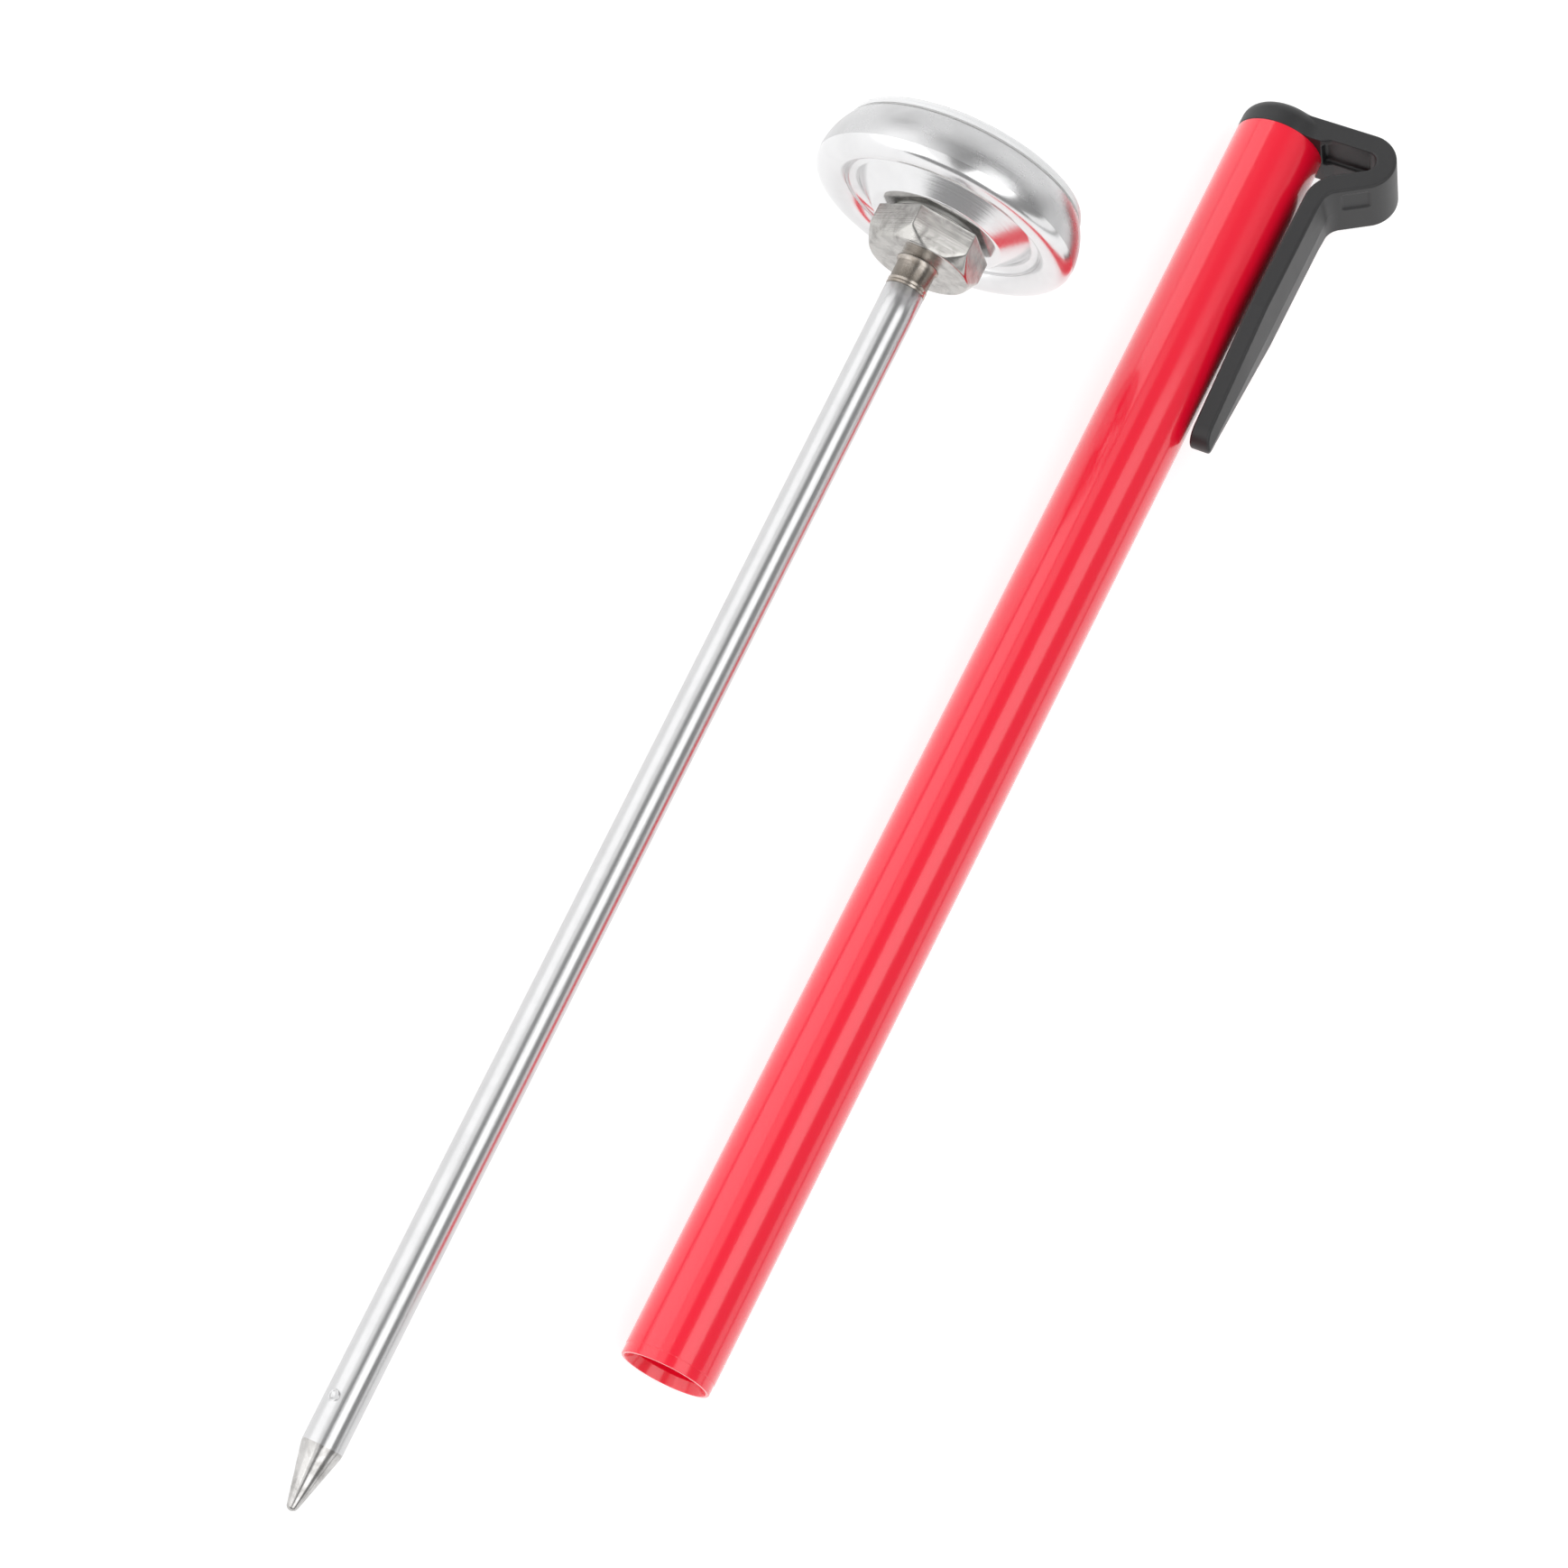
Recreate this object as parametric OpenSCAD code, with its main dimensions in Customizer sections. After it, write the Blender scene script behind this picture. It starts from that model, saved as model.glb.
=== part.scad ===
// Pocket dial thermometer with its protective sheath, laid out side by side on a table.
// The thermometer lies on the rim of its head and the shoulder of its point.
// Z is up, Y runs along the sheath from its mouth to its cap, X points to the clip's side.

/* [Stem] */
// Outside diameter of the stem tube
stem_d = 3.8; // [3:0.1:5]
// Wall of the stem tube
stem_wall = 0.25; // [0.2:0.05:0.4]
// Length from the tip to the stem-side face of the nut
stem_len = 125.25; // [90:0.25:160]
// Length of the tapered point
point_len = 6; // [4:0.5:10]
// Radius of the rounded tip
tip_r = 0.55; // [0.3:0.05:0.9]
// Depth that the point's spigot reaches into the tube
spigot_len = 2.5; // [1.5:0.5:4]

/* [Coil and spindle] */
// Gap between the point's spigot and the coil's anchor
anchor_gap = 0.9; // [0.5:0.1:3]
// Length of the coil's anchor
anchor_len = 1.8; // [1:0.1:3]
// Length of the bimetal coil
coil_len = 34; // [20:1:45]
// Turns of the bimetal coil
coil_turns = 10; // [6:1:14]
// Thickness of the coil's strip
coil_t = 0.25; // [0.15:0.05:0.4]
// Gap between the coil and the tube's wall
coil_side_gap = 0.4; // [0.2:0.05:0.6]
// Diameter of the spindle
spindle_d = 0.7; // [0.5:0.05:1]
// Thickness of the disc that joins the coil to the spindle
disc_t = 0.6; // [0.3:0.1:1]
// Radial clearance of the spindle in its bearings
spindle_clear = 0.05; // [0.02:0.01:0.1]
// Length of each spindle bearing
bearing_len = 2.4; // [1.5:0.1:4]
// Distance from the coil to the lower bearing
bearing_rise = 15; // [5:1:25]

/* [Nut] */
// Nut's width across its flats
nut_af = 10; // [8:0.5:13]
// Height of the nut
nut_h = 3.55; // [2.5:0.05:5]
// Radius of the round stem-side face
nut_face_r = 4.95; // [3.5:0.05:6]
// Outward slope of the nut's chamfer
nut_slope = 0.59; // [0.4:0.01:1.5]
// Radius of the nut's neck, which passes through the case
neck_r = 2.5; // [2.3:0.1:3]
// Length of the nut's neck
neck_len = 2.1; // [1.8:0.1:3]
// Length of the nut's spigot inside the stem and the weld collar
nut_spigot = 7; // [5:0.5:10]
// Radius of the hole through the spigot, for the spindle
way_r = 0.6; // [0.5:0.05:0.8]
// Length of the weld collar between the stem and the nut
weld_h = 2.8; // [1:0.1:3]
// Height of the weld's flare against the nut
flare_h = 0.35; // [0.2:0.05:0.6]
// Width of the flare beyond the stem
weld_w = 0.4; // [0.25:0.05:0.6]
// Width of the collar beyond the stem
weld_edge = 0.2; // [0.15:0.05:0.4]

/* [Head] */
// Largest radius of the case
rim_r = 13; // [11:0.25:16]
// Radius of the rolled back edge
roll_r = 1.65; // [1.2:0.05:2]
// Thickness of the case's sheet
sheet_t = 0.45; // [0.3:0.05:0.6]
// Radius of the boss that the nut seats on
boss_r = 6.8; // [6:0.1:8]
// Height of the boss above the floor of the groove
groove_depth = 2.1; // [1.2:0.1:2.4]
// Radius of the rounded bottom of the groove
groove_round = 0.7; // [0.5:0.1:1]
// Height of the crown of the roll above the boss
crown_drop = 0.5; // [0:0.1:1]
// How far the side wall leans in between the rim and the lip
lip_inset = 1.13; // [0.6:0.01:2]
// Height of the side wall from the rim to the lip
wall_h = 3.65; // [2.5:0.05:5]
// Radial clearance of the neck in the case's hole
neck_clear = 0.1; // [0.05:0.01:0.2]
// Thickness of the friction washer
washer_t = 0.3; // [0.2:0.05:0.5]
// Outside radius of the friction washer
washer_r = 4.4; // [3.2:0.1:4.8]
// Outside radius of the retaining collar
collar_r = 4.2; // [3:0.1:5]
// Height of the retaining collar
collar_h = 0.9; // [0.5:0.1:1.4]

/* [Dial and lens] */
// Thickness of the dial plate
dial_t = 0.3; // [0.2:0.05:0.5]
// Radius of the hole in the dial plate
dial_hole_r = 0.9; // [0.7:0.1:1.5]
// Width of the ring that holds the dial plate down
ring_w = 0.55; // [0.4:0.05:1]
// Width of that ring under the lens
ring_top_w = 0.33; // [0.2:0.01:0.4]
// Thickness of the lens gasket
gasket_t = 0.18; // [0.1:0.02:0.3]
// Depth of the lens's plug inside the lip
lens_plug = 0.7; // [0.4:0.1:1]
// Thickness of the lens above the gasket
lens_t = 0.95; // [0.6:0.05:1.5]
// Bevel of the lens's edge
lens_bevel = 0.45; // [0.2:0.05:0.5]
// Length of the pointer from the spindle to its end
pointer_len = 8.4; // [6:0.1:9.5]
// Length of the pointer's tail
tail_len = 3; // [2:0.1:4]
// Thickness of the pointer
pointer_t = 0.2; // [0.1:0.05:0.3]
// Radius of the pointer's hub
hub_r = 0.8; // [0.6:0.05:1.2]
// Height of the pointer above the dial plate
pointer_rise = 0.9; // [0.5:0.1:1.2]
// Width of the pointer's end
pointer_end_w = 0.24; // [0.1:0.02:0.5]
// Width of the pointer at the spindle
pointer_w = 1.2; // [0.6:0.1:1.5]
// Width of the pointer's tail
tail_w = 0.7; // [0.3:0.1:1.2]
// Height of the pointer's hub
hub_h = 0.45; // [0.3:0.05:0.5]
// Height of the spindle above the underside of the pointer
spindle_over = 0.7; // [0.4:0.05:0.9]

/* [Sheath] */
// Length of the sheath's tube
tube_len = 134.5; // [100:0.5:170]
// Outside radius at the mouth
mouth_r = 4.3; // [3.9:0.05:5]
// Outside radius at the cap
cap_r = 4.48; // [4.1:0.02:5.2]
// Radius of the sheath's bore
bore_r = 3.6; // [3.2:0.05:4]
// Length of the flared mouth
flare_len = 1; // [0.5:0.1:2]
// Width of the flare
flare_w = 0.35; // [0.1:0.05:0.5]
// Thickness of the cap beyond the tube
cap_t = 2.85; // [2.4:0.05:4]
// Radius of the cap's rounded edge
cap_round = 1.8; // [0.5:0.1:2]
// Depth of the wider seat for the cap's plug
plug_len = 4.5; // [3:0.5:8]
// How much wider the seat is than the bore
seat_w = 0.15; // [0.05:0.05:0.3]
// Distance from the plug's end to the seat's shoulder
plug_short = 0.6; // [0.4:0.05:1]

/* [Clip] */
// Roll of the sheath that lifts the clip off the table
clip_roll = 28; // [0:1:40]
// Thickness of the clip's strip
strip_t = 2; // [1.4:0.1:2.4]
// Width of the clip's strip at the loop
strip_w = 7; // [5:0.1:8]
// Distance from the cap's side to the outside of the loop
clip_stand = 7.92; // [7:0.02:10]
// Outside radius of the loop
loop_r = 3.05; // [2.6:0.05:3.5]
// Angle that the loop turns past square
loop_turn = 60; // [45:1:70]
// Mean radius of the bend between the loop and the blade
knee_r = 2.6; // [1.8:0.1:3.2]
// Gap between the tube and the blade's end
blade_gap = 0.72; // [0.2:0.02:1]
// Lean of the blade towards its end
blade_lean = 0.56; // [0:0.02:2]
// Length of the blade below its bend
blade_len = 27.4; // [20:0.2:40]
// Length of the blade that tapers to its end
taper_len = 14.5; // [8:0.5:26]
// Width of the blade's end
blade_end_w = 3.5; // [2.5:0.1:5]
// Depth of the cored pockets in the loop's arms
pocket_depth = 0.6; // [0.3:0.1:1.1]
// Height of the cored pockets
pocket_h = 2.6; // [1.5:0.1:3]
// Length of the upper cored pocket
pocket_len = 4.8; // [2:0.1:5]
// Distance from the middle of the strip up to the pockets
pocket_up = 0.1; // [0:0.1:0.4]
// Distance from the cap's side to the upper pocket
pocket_in = 0.3; // [0:0.1:1]

/* [Layout] */
// Distance from the sheath's axis to the tip, across the table
side_gap = 23.06; // [20:0.02:30]
// How far the tip lies beyond the sheath's mouth
tip_back = 25.09; // [10:0.01:60]
// Turn of the thermometer on the table
stem_yaw = 1.714; // [0:0.002:5]

/* [Fits] */
// Gap between pieces that are fixed together
fixed_gap = 0.02; // [0.01:0.005:0.04]
// Gap between faces that slide past each other
slide_gap = 0.06; // [0.03:0.01:0.1]

/* [Hidden] */
$fn = 96;

stem_r = stem_d / 2;
stem_in_r = stem_r - stem_wall;
plug_r = stem_in_r - fixed_gap;

// Heights along the thermometer's axis, from the tip
anchor_s = point_len + spigot_len + anchor_gap;
coil_s = anchor_s + anchor_len + fixed_gap;
coil_top_s = coil_s + coil_len;
lower_s = coil_top_s + bearing_rise;
nut_top_s = stem_len + nut_h;
boss_s = nut_top_s + washer_t + slide_gap;
collar_s = boss_s + sheet_t + slide_gap;
stem_top_s = nut_top_s + neck_len;
weld_s = stem_len - weld_h;
upper_s = stem_top_s - bearing_len;
groove_s = boss_s + groove_depth;
roll_s = boss_s + crown_drop + roll_r;
lip_s = roll_s + wall_h;
dial_s = groove_s + sheet_t + fixed_gap;
ring_s = dial_s + dial_t + fixed_gap;
lens_s = lip_s + gasket_t + fixed_gap;
plug_s = lip_s - lens_plug;
pointer_s = dial_s + dial_t + pointer_rise;

// The side wall is an arc that leaves the rim square and ends at the lip
lip_r = rim_r - lip_inset;
wall_r = (lip_inset * lip_inset + wall_h * wall_h) / (2 * lip_inset);
wall_end = asin(wall_h / wall_r);
wall_in_end = asin(wall_h / (wall_r - sheet_t));
lip_in_r = rim_r - wall_r + (wall_r - sheet_t) * cos(wall_in_end);
roll_from = 200;  // degrees, where the rolled edge leaves the groove
wall_from = 3;    // degrees, where the side wall leaves the rolled edge

// The cone from the boss's rounded corner to the groove's rounded bottom
corner_r = 0.5;
boss_c = [boss_r - corner_r, boss_s + corner_r];
dip_c = [rim_r - roll_r + roll_r * cos(roll_from) - groove_round, groove_s - groove_round];
dip_d = dip_c - boss_c;
slope = atan2(dip_d[1], dip_d[0]) + asin((corner_r + groove_round) / norm(dip_d));

// The thermometer rests on the point's shoulder and on the rolled edge
rest_run = roll_s - point_len;
rest_rise = rim_r - roll_r - stem_r;
stem_tilt = asin(roll_r / sqrt(rest_run * rest_run + rest_rise * rest_rise)) + atan2(rest_rise, rest_run);
tip_z = stem_r * cos(stem_tilt) - point_len * sin(stem_tilt);

// The loop and the blade, in the sheath's own frame: X outwards, Y along the tube
clip_reach = cap_r + clip_stand;
loop_x = clip_reach - loop_r;
arm_drop = 0.4;
arm_top_y = tube_len + cap_t - arm_drop;
loop_y = arm_top_y - loop_r;
mid_r = loop_r - strip_t / 2;
blade_dir = 270 - blade_lean;
arm_dir = 270 - loop_turn;
blade_end_x = cap_r + blade_gap + strip_t / 2;
knee_end_x = blade_end_x + blade_len * sin(blade_lean);
loop_end = [loop_x + mid_r * cos(loop_turn), loop_y - mid_r * sin(loop_turn)];
arm_len = (knee_end_x - loop_end[0] + knee_r * (sin(arm_dir) - sin(blade_dir))) / cos(arm_dir);
arm_end = loop_end + arm_len * [cos(arm_dir), sin(arm_dir)];
knee_c = arm_end + knee_r * [-sin(arm_dir), cos(arm_dir)];
knee_end = knee_c - knee_r * [-sin(blade_dir), cos(blade_dir)];
blade_end = knee_end + blade_len * [cos(blade_dir), sin(blade_dir)];
split_gap = 1.2; // degrees of the loop left open where the blade flexes
through = 1;     // how far a cutter passes the face that it cuts

// The part stands on the middle of its box
axis_x = sin(stem_yaw) * cos(stem_tilt);
low_x = -side_gap - axis_x * roll_s - rim_r * sqrt(1 - axis_x * axis_x);
high_x = clip_reach * cos(clip_roll) + strip_w / 2 * sin(clip_roll);
mid_x = (low_x + high_x) / 2;
mid_y = (tube_len + cap_t - tip_back) / 2;

// Points of an arc about a centre, from one angle to another
function arc(c, r, from, to, steps = 12) =
    [for (i = [0:steps]) let (t = from + (to - from) * i / steps) c + r * [cos(t), sin(t)]];

module in_row() {
    translate([-mid_x, -mid_y, 0]) children();
}

// Stands a piece built along Z on the thermometer's axis
module on_stem() {
    in_row() translate([-side_gap, -tip_back, tip_z]) rotate([0, 0, stem_yaw])
        rotate([stem_tilt - 90, 0, 0]) children();
}

// Places a piece in the rolled frame of the sheath
module on_sheath() {
    in_row() translate([0, 0, cap_r]) rotate([0, -clip_roll, 0]) children();
}

// A ring about Z between two heights
module ring(outer, inner, low, high) {
    translate([0, 0, low]) difference() {
        cylinder(r = outer, h = high - low);
        translate([0, 0, -through]) cylinder(r = inner, h = high - low + 2 * through);
    }
}

module stem_tube() {
    color("silver") on_stem() ring(stem_r, stem_in_r, point_len, weld_s);
}

// Rounded tip, a straight flank that touches the round, and a spigot for the tube
module stem_point() {
    flank = asin((stem_r - tip_r) / (point_len - tip_r));
    color("gray") on_stem() rotate_extrude() polygon(concat(
        [[0, 0]], arc([0, tip_r], tip_r, -80, -flank, 8),
        [[stem_r, point_len], [plug_r, point_len], [plug_r, point_len + spigot_len],
         [0, point_len + spigot_len]]));
}

module coil_anchor() {
    color("dimgray") on_stem() translate([0, 0, anchor_s]) cylinder(r = plug_r, h = anchor_len);
}

// A flat strip wound as a helix: its cross-section is most of a thin ring, twisted upwards
module bimetal_coil() {
    outer = stem_in_r - coil_side_gap;
    color("goldenrod") on_stem() translate([0, 0, coil_s])
        linear_extrude(height = coil_len, twist = -360 * coil_turns, slices = coil_turns * 6, $fn = 8)
            polygon(concat(arc([0, 0], outer, 0, 270, 6), arc([0, 0], outer - coil_t, 270, 0, 6)));
}

module bearing(low) {
    color("tan") on_stem() ring(plug_r, spindle_d / 2 + spindle_clear, low, low + bearing_len);
}

module lower_bearing() {
    bearing(lower_s);
}

module upper_bearing() {
    bearing(upper_s);
}

// A collar of weld round the nut's spigot, which flares out against the nut
module neck_weld() {
    color("sienna") on_stem() rotate_extrude() polygon([
        [stem_in_r, weld_s + fixed_gap], [stem_r + weld_edge, weld_s + fixed_gap],
        [stem_r + weld_edge, stem_len - flare_h], [stem_r + weld_w, stem_len - fixed_gap],
        [stem_in_r, stem_len - fixed_gap]]);
}

// A hexagon with one chamfered face, a spigot for the stem and a round neck behind
module hex_nut() {
    corner = nut_af / sqrt(3);
    color("silver") on_stem() difference() {
        union() {
            intersection() {
                translate([0, 0, stem_len]) cylinder(r = corner, h = nut_h, $fn = 6);
                translate([0, 0, stem_len])
                    cylinder(r1 = nut_face_r, r2 = nut_face_r + nut_slope * nut_h, h = nut_h);
            }
            translate([0, 0, stem_len + nut_h / 2]) cylinder(r = neck_r, h = neck_len + nut_h / 2);
            translate([0, 0, stem_len - nut_spigot]) cylinder(r = plug_r, h = nut_spigot + nut_h / 2);
        }
        translate([0, 0, stem_len - nut_spigot - through])
            cylinder(r = way_r, h = nut_spigot + nut_h + neck_len + 2 * through);
        translate([0, 0, upper_s - fixed_gap]) cylinder(r = stem_in_r, h = bearing_len + through);
    }
}

module hub_collar() {
    color("gray") on_stem() ring(collar_r, neck_r + fixed_gap, collar_s, collar_s + collar_h);
}

module friction_washer() {
    color("ivory") on_stem()
        ring(washer_r, neck_r + neck_clear, boss_s - washer_t - fixed_gap, boss_s - fixed_gap);
}

// One sheet: boss, groove, rolled edge, curved side wall and lip
module case_back() {
    hole = neck_r + neck_clear;
    roll_c = [rim_r - roll_r, roll_s];
    wall_c = [rim_r - wall_r, roll_s];
    color("lightgray") on_stem() rotate_extrude() polygon(concat(
        [[hole, boss_s]],
        arc(boss_c, corner_r, 270, 270 + slope, 6),
        arc(dip_c, groove_round, 90 + slope, 0, 12),
        arc(roll_c, roll_r, roll_from, 360, 20),
        arc(wall_c, wall_r, wall_from, wall_end, 8),
        arc(wall_c, wall_r - sheet_t, wall_in_end, wall_from, 8),
        arc(roll_c, roll_r - sheet_t, 360, roll_from, 16),
        arc(dip_c, groove_round + sheet_t, 0, 90 + slope, 12),
        [boss_c + (corner_r - sheet_t) * [0, -1], [hole, boss_s + sheet_t]]));
}

module dial_plate() {
    color("white") on_stem() ring(lip_in_r - slide_gap, dial_hole_r, dial_s, dial_s + dial_t);
}

module dial_ring() {
    outer = lip_in_r - slide_gap;
    color("white") on_stem() rotate_extrude() polygon([
        [outer - ring_w, ring_s], [outer, ring_s], [outer, plug_s - fixed_gap],
        [outer - ring_top_w, plug_s - fixed_gap]]);
}

module lens_gasket() {
    color("black") on_stem() ring(lip_r - slide_gap, lip_in_r, lip_s + fixed_gap, lip_s + gasket_t);
}

// A plug inside the lip and a bevelled window above it
module lens() {
    edge = lip_r - slide_gap;
    plug = lip_in_r - slide_gap;
    color("lightcyan", 0.4) on_stem() rotate_extrude() polygon([
        [0, plug_s], [plug, plug_s], [plug, lens_s], [edge, lens_s],
        [edge, lens_s + lens_t - lens_bevel], [edge - lens_bevel, lens_s + lens_t], [0, lens_s + lens_t]]);
}

// A thin shaft with the disc that the coil turns
module spindle() {
    disc_s = coil_top_s + slide_gap;
    color("silver") on_stem() union() {
        translate([0, 0, disc_s]) cylinder(r = stem_in_r - coil_side_gap, h = disc_t);
        translate([0, 0, disc_s]) cylinder(r = spindle_d / 2, h = pointer_s + spindle_over - disc_s);
    }
}

module pointer_hub() {
    color("silver") on_stem() ring(hub_r, spindle_d / 2 + fixed_gap, pointer_s - hub_h, pointer_s - fixed_gap);
}

// A long taper on one side of the spindle and a short paddle on the other
module pointer() {
    color("black") on_stem() translate([0, 0, pointer_s]) difference() {
        union() {
            linear_extrude(pointer_t) polygon([
                [-pointer_end_w / 2, pointer_len], [pointer_end_w / 2, pointer_len], [pointer_w / 2, 0],
                [tail_w / 2, -tail_len], [-tail_w / 2, -tail_len], [-pointer_w / 2, 0]]);
            cylinder(r = hub_r, h = pointer_t);
        }
        translate([0, 0, -through])
            cylinder(r = spindle_d / 2 + fixed_gap, h = pointer_t + 2 * through);
    }
}

// A tube that widens a little towards its cap, with a straight bore, a flared mouth and a seat for the plug
module sheath_tube() {
    color("red") on_sheath() rotate([-90, 0, 0]) difference() {
        cylinder(r1 = mouth_r, r2 = cap_r, h = tube_len);
        translate([0, 0, -through]) cylinder(r = bore_r, h = tube_len + 2 * through);
        translate([0, 0, -flare_len])
            cylinder(r1 = bore_r + 2 * flare_w, r2 = bore_r, h = 2 * flare_len);
        translate([0, 0, tube_len - plug_len]) cylinder(r = bore_r + seat_w, h = plug_len + through);
    }
}

// Outline of the strip from the cap to the middle of the loop
module cap_strip() {
    linear_extrude(height = strip_w, center = true) polygon(concat(
        [[0, arm_top_y]], arc([loop_x, loop_y], loop_r, 90, 0, 16),
        arc([loop_x, loop_y], loop_r - strip_t, 0, 90, 16), [[0, arm_top_y - strip_t]]));
}

// A blind pocket in an arm's face: X along the arm, Y into the strip
module pocket(at, turn, length) {
    translate([at[0], at[1], 0]) rotate([0, 0, turn])
        translate([0, -through, pocket_up]) cube([length, through + pocket_depth, pocket_h]);
}

// The plug, the rounded cap and the upper half of the loop are one moulding
module clip_cap() {
    gap_y = tube_len + fixed_gap;
    plug_y = tube_len - plug_len + plug_short;
    fit_r = bore_r + seat_w - fixed_gap;
    color("dimgray") on_sheath() difference() {
        union() {
            rotate([-90, 0, 0]) rotate_extrude() polygon(concat(
                [[0, plug_y], [fit_r, plug_y], [fit_r, gap_y], [cap_r, gap_y]],
                arc([cap_r - cap_round, tube_len + cap_t - cap_round], cap_round, 0, 90, 10),
                [[0, tube_len + cap_t]]));
            cap_strip();
        }
        pocket([cap_r + pocket_in, arm_top_y - strip_t], 0, pocket_len);
    }
}

// Lower half of the loop, its sloping arm and the tapering blade
module clip_blade() {
    half = strip_t / 2;
    loop_c = [loop_x, loop_y];
    side = half * [-sin(blade_dir), cos(blade_dir)];
    spread = strip_w / 2 + through;
    end_y = blade_end[1] + blade_end_w / 2;
    taper_y = blade_end[1] + taper_len;
    color("dimgray") on_sheath() difference() {
        intersection() {
            linear_extrude(height = strip_w, center = true) polygon(concat(
                arc(loop_c, loop_r, -split_gap, -loop_turn, 16),
                arc(knee_c, knee_r - half, arm_dir - 90, blade_dir - 90, 12),
                [blade_end + side, blade_end - side],
                arc(knee_c, knee_r + half, blade_dir - 90, arm_dir - 90, 12),
                arc(loop_c, loop_r - strip_t, -loop_turn, -split_gap, 16)));
            rotate([0, 90, 0]) linear_extrude(height = clip_reach + through) union() {
                polygon([[-spread, tube_len + cap_t], [-spread, loop_y], [-strip_w / 2, loop_y - loop_r],
                         [-strip_w / 2, taper_y], [-blade_end_w / 2, end_y], [blade_end_w / 2, end_y],
                         [strip_w / 2, taper_y], [strip_w / 2, loop_y - loop_r], [spread, loop_y],
                         [spread, tube_len + cap_t]]);
                translate([0, end_y]) circle(r = blade_end_w / 2);
            }
        }
        pocket(arm_end + half * [-sin(arm_dir), cos(arm_dir)], arm_dir - 180, arm_len);
    }
}

stem_tube();
stem_point();
coil_anchor();
bimetal_coil();
lower_bearing();
upper_bearing();
neck_weld();
hex_nut();
hub_collar();
friction_washer();
case_back();
dial_plate();
dial_ring();
lens_gasket();
lens();
spindle();
pointer_hub();
pointer();
sheath_tube();
clip_cap();
clip_blade();
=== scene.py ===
# %% [markdown]
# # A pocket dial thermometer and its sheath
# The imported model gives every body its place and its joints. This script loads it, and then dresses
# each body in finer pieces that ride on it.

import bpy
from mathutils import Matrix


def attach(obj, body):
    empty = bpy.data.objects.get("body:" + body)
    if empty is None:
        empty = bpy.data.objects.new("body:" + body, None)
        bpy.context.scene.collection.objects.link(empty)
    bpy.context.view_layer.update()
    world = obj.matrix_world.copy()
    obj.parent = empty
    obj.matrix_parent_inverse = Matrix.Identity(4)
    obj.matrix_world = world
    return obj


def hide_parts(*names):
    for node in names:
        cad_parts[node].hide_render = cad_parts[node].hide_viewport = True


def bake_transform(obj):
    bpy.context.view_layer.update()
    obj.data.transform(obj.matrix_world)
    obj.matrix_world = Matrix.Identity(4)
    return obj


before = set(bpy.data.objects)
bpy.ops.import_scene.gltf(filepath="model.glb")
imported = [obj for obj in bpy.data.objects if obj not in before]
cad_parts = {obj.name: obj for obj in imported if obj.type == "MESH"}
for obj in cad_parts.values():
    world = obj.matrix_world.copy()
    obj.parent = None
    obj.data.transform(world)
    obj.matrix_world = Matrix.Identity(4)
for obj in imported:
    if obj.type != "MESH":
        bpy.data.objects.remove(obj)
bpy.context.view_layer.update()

import math
import bpy
import bmesh
import numpy as np
from mathutils import Matrix, Vector

MM = 0.001

# %% [markdown]
# The camera comes first, because everything else is judged through it. It is a long lens, set
# high above the table and looking down across both pieces. Its place and turn are three unit
# vectors: to the right of the picture, up the picture, and back towards the camera.

# %% Camera
RIGHT = Vector((0.855314, 0.434250, 0.282604))
UP = Vector((-0.497264, 0.841195, 0.212411))
BACK = Vector((-0.145486, -0.322207, 0.935423))
EYE = Vector((-0.05535, -0.12453, 0.35511))

camera_data = bpy.data.cameras.new("camera")
camera_data.sensor_width = 36.0
camera_data.lens = 95.28
camera_data.clip_start = 0.01
camera_data.clip_end = 20.0
camera = bpy.data.objects.new("camera", camera_data)
bpy.context.scene.collection.objects.link(camera)
turn = Matrix((RIGHT, UP, BACK)).transposed().to_4x4()
camera.matrix_world = Matrix.Translation(EYE) @ turn
bpy.context.scene.camera = camera
print("camera stands", round(EYE.length, 3), "m from the origin")

# %% [markdown]
# The thermometer lies at a slant, on the shoulder of its point and the rim of its head. The
# sheath lies flat, rolled so that its clip is clear of the table. Each has a frame of its own:
# an origin and three directions. A piece is worked out in that frame in millimetres, and one
# function carries it to the table.

# %% Two frames to build in
STEM_YAW = math.radians(1.714)
STEM_TILT = math.radians(5.065)
CLIP_ROLL = math.radians(28)
yaw_c, yaw_s = math.cos(STEM_YAW), math.sin(STEM_YAW)
tilt_c, tilt_s = math.cos(STEM_TILT), math.sin(STEM_TILT)
STEM = {
    "origin": np.array([-9.3726, -81.22, 1.363]),
    "x": np.array([yaw_c, yaw_s, 0]),
    "y": np.array([-yaw_s * tilt_s, yaw_c * tilt_s, -tilt_c]),
    "z": np.array([-yaw_s * tilt_c, yaw_c * tilt_c, tilt_s]),
}
SHEATH = {
    "origin": np.array([13.6874, -56.13, 4.48]),
    "x": np.array([math.cos(CLIP_ROLL), 0, math.sin(CLIP_ROLL)]),
    "y": np.array([math.sin(CLIP_ROLL), 0, -math.cos(CLIP_ROLL)]),
    "z": np.array([0.0, 1.0, 0.0]),
}


def on(base, points):
    """Carries points (..., 3) in mm from a frame to the table, in metres."""
    points = np.asarray(points, float)
    axes = np.stack([base["x"], base["y"], base["z"]])
    return (points @ axes + base["origin"]) * MM


print("the stem's point is at", np.round(on(STEM, [0, 0, 0]) / MM, 1), "mm")

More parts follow.
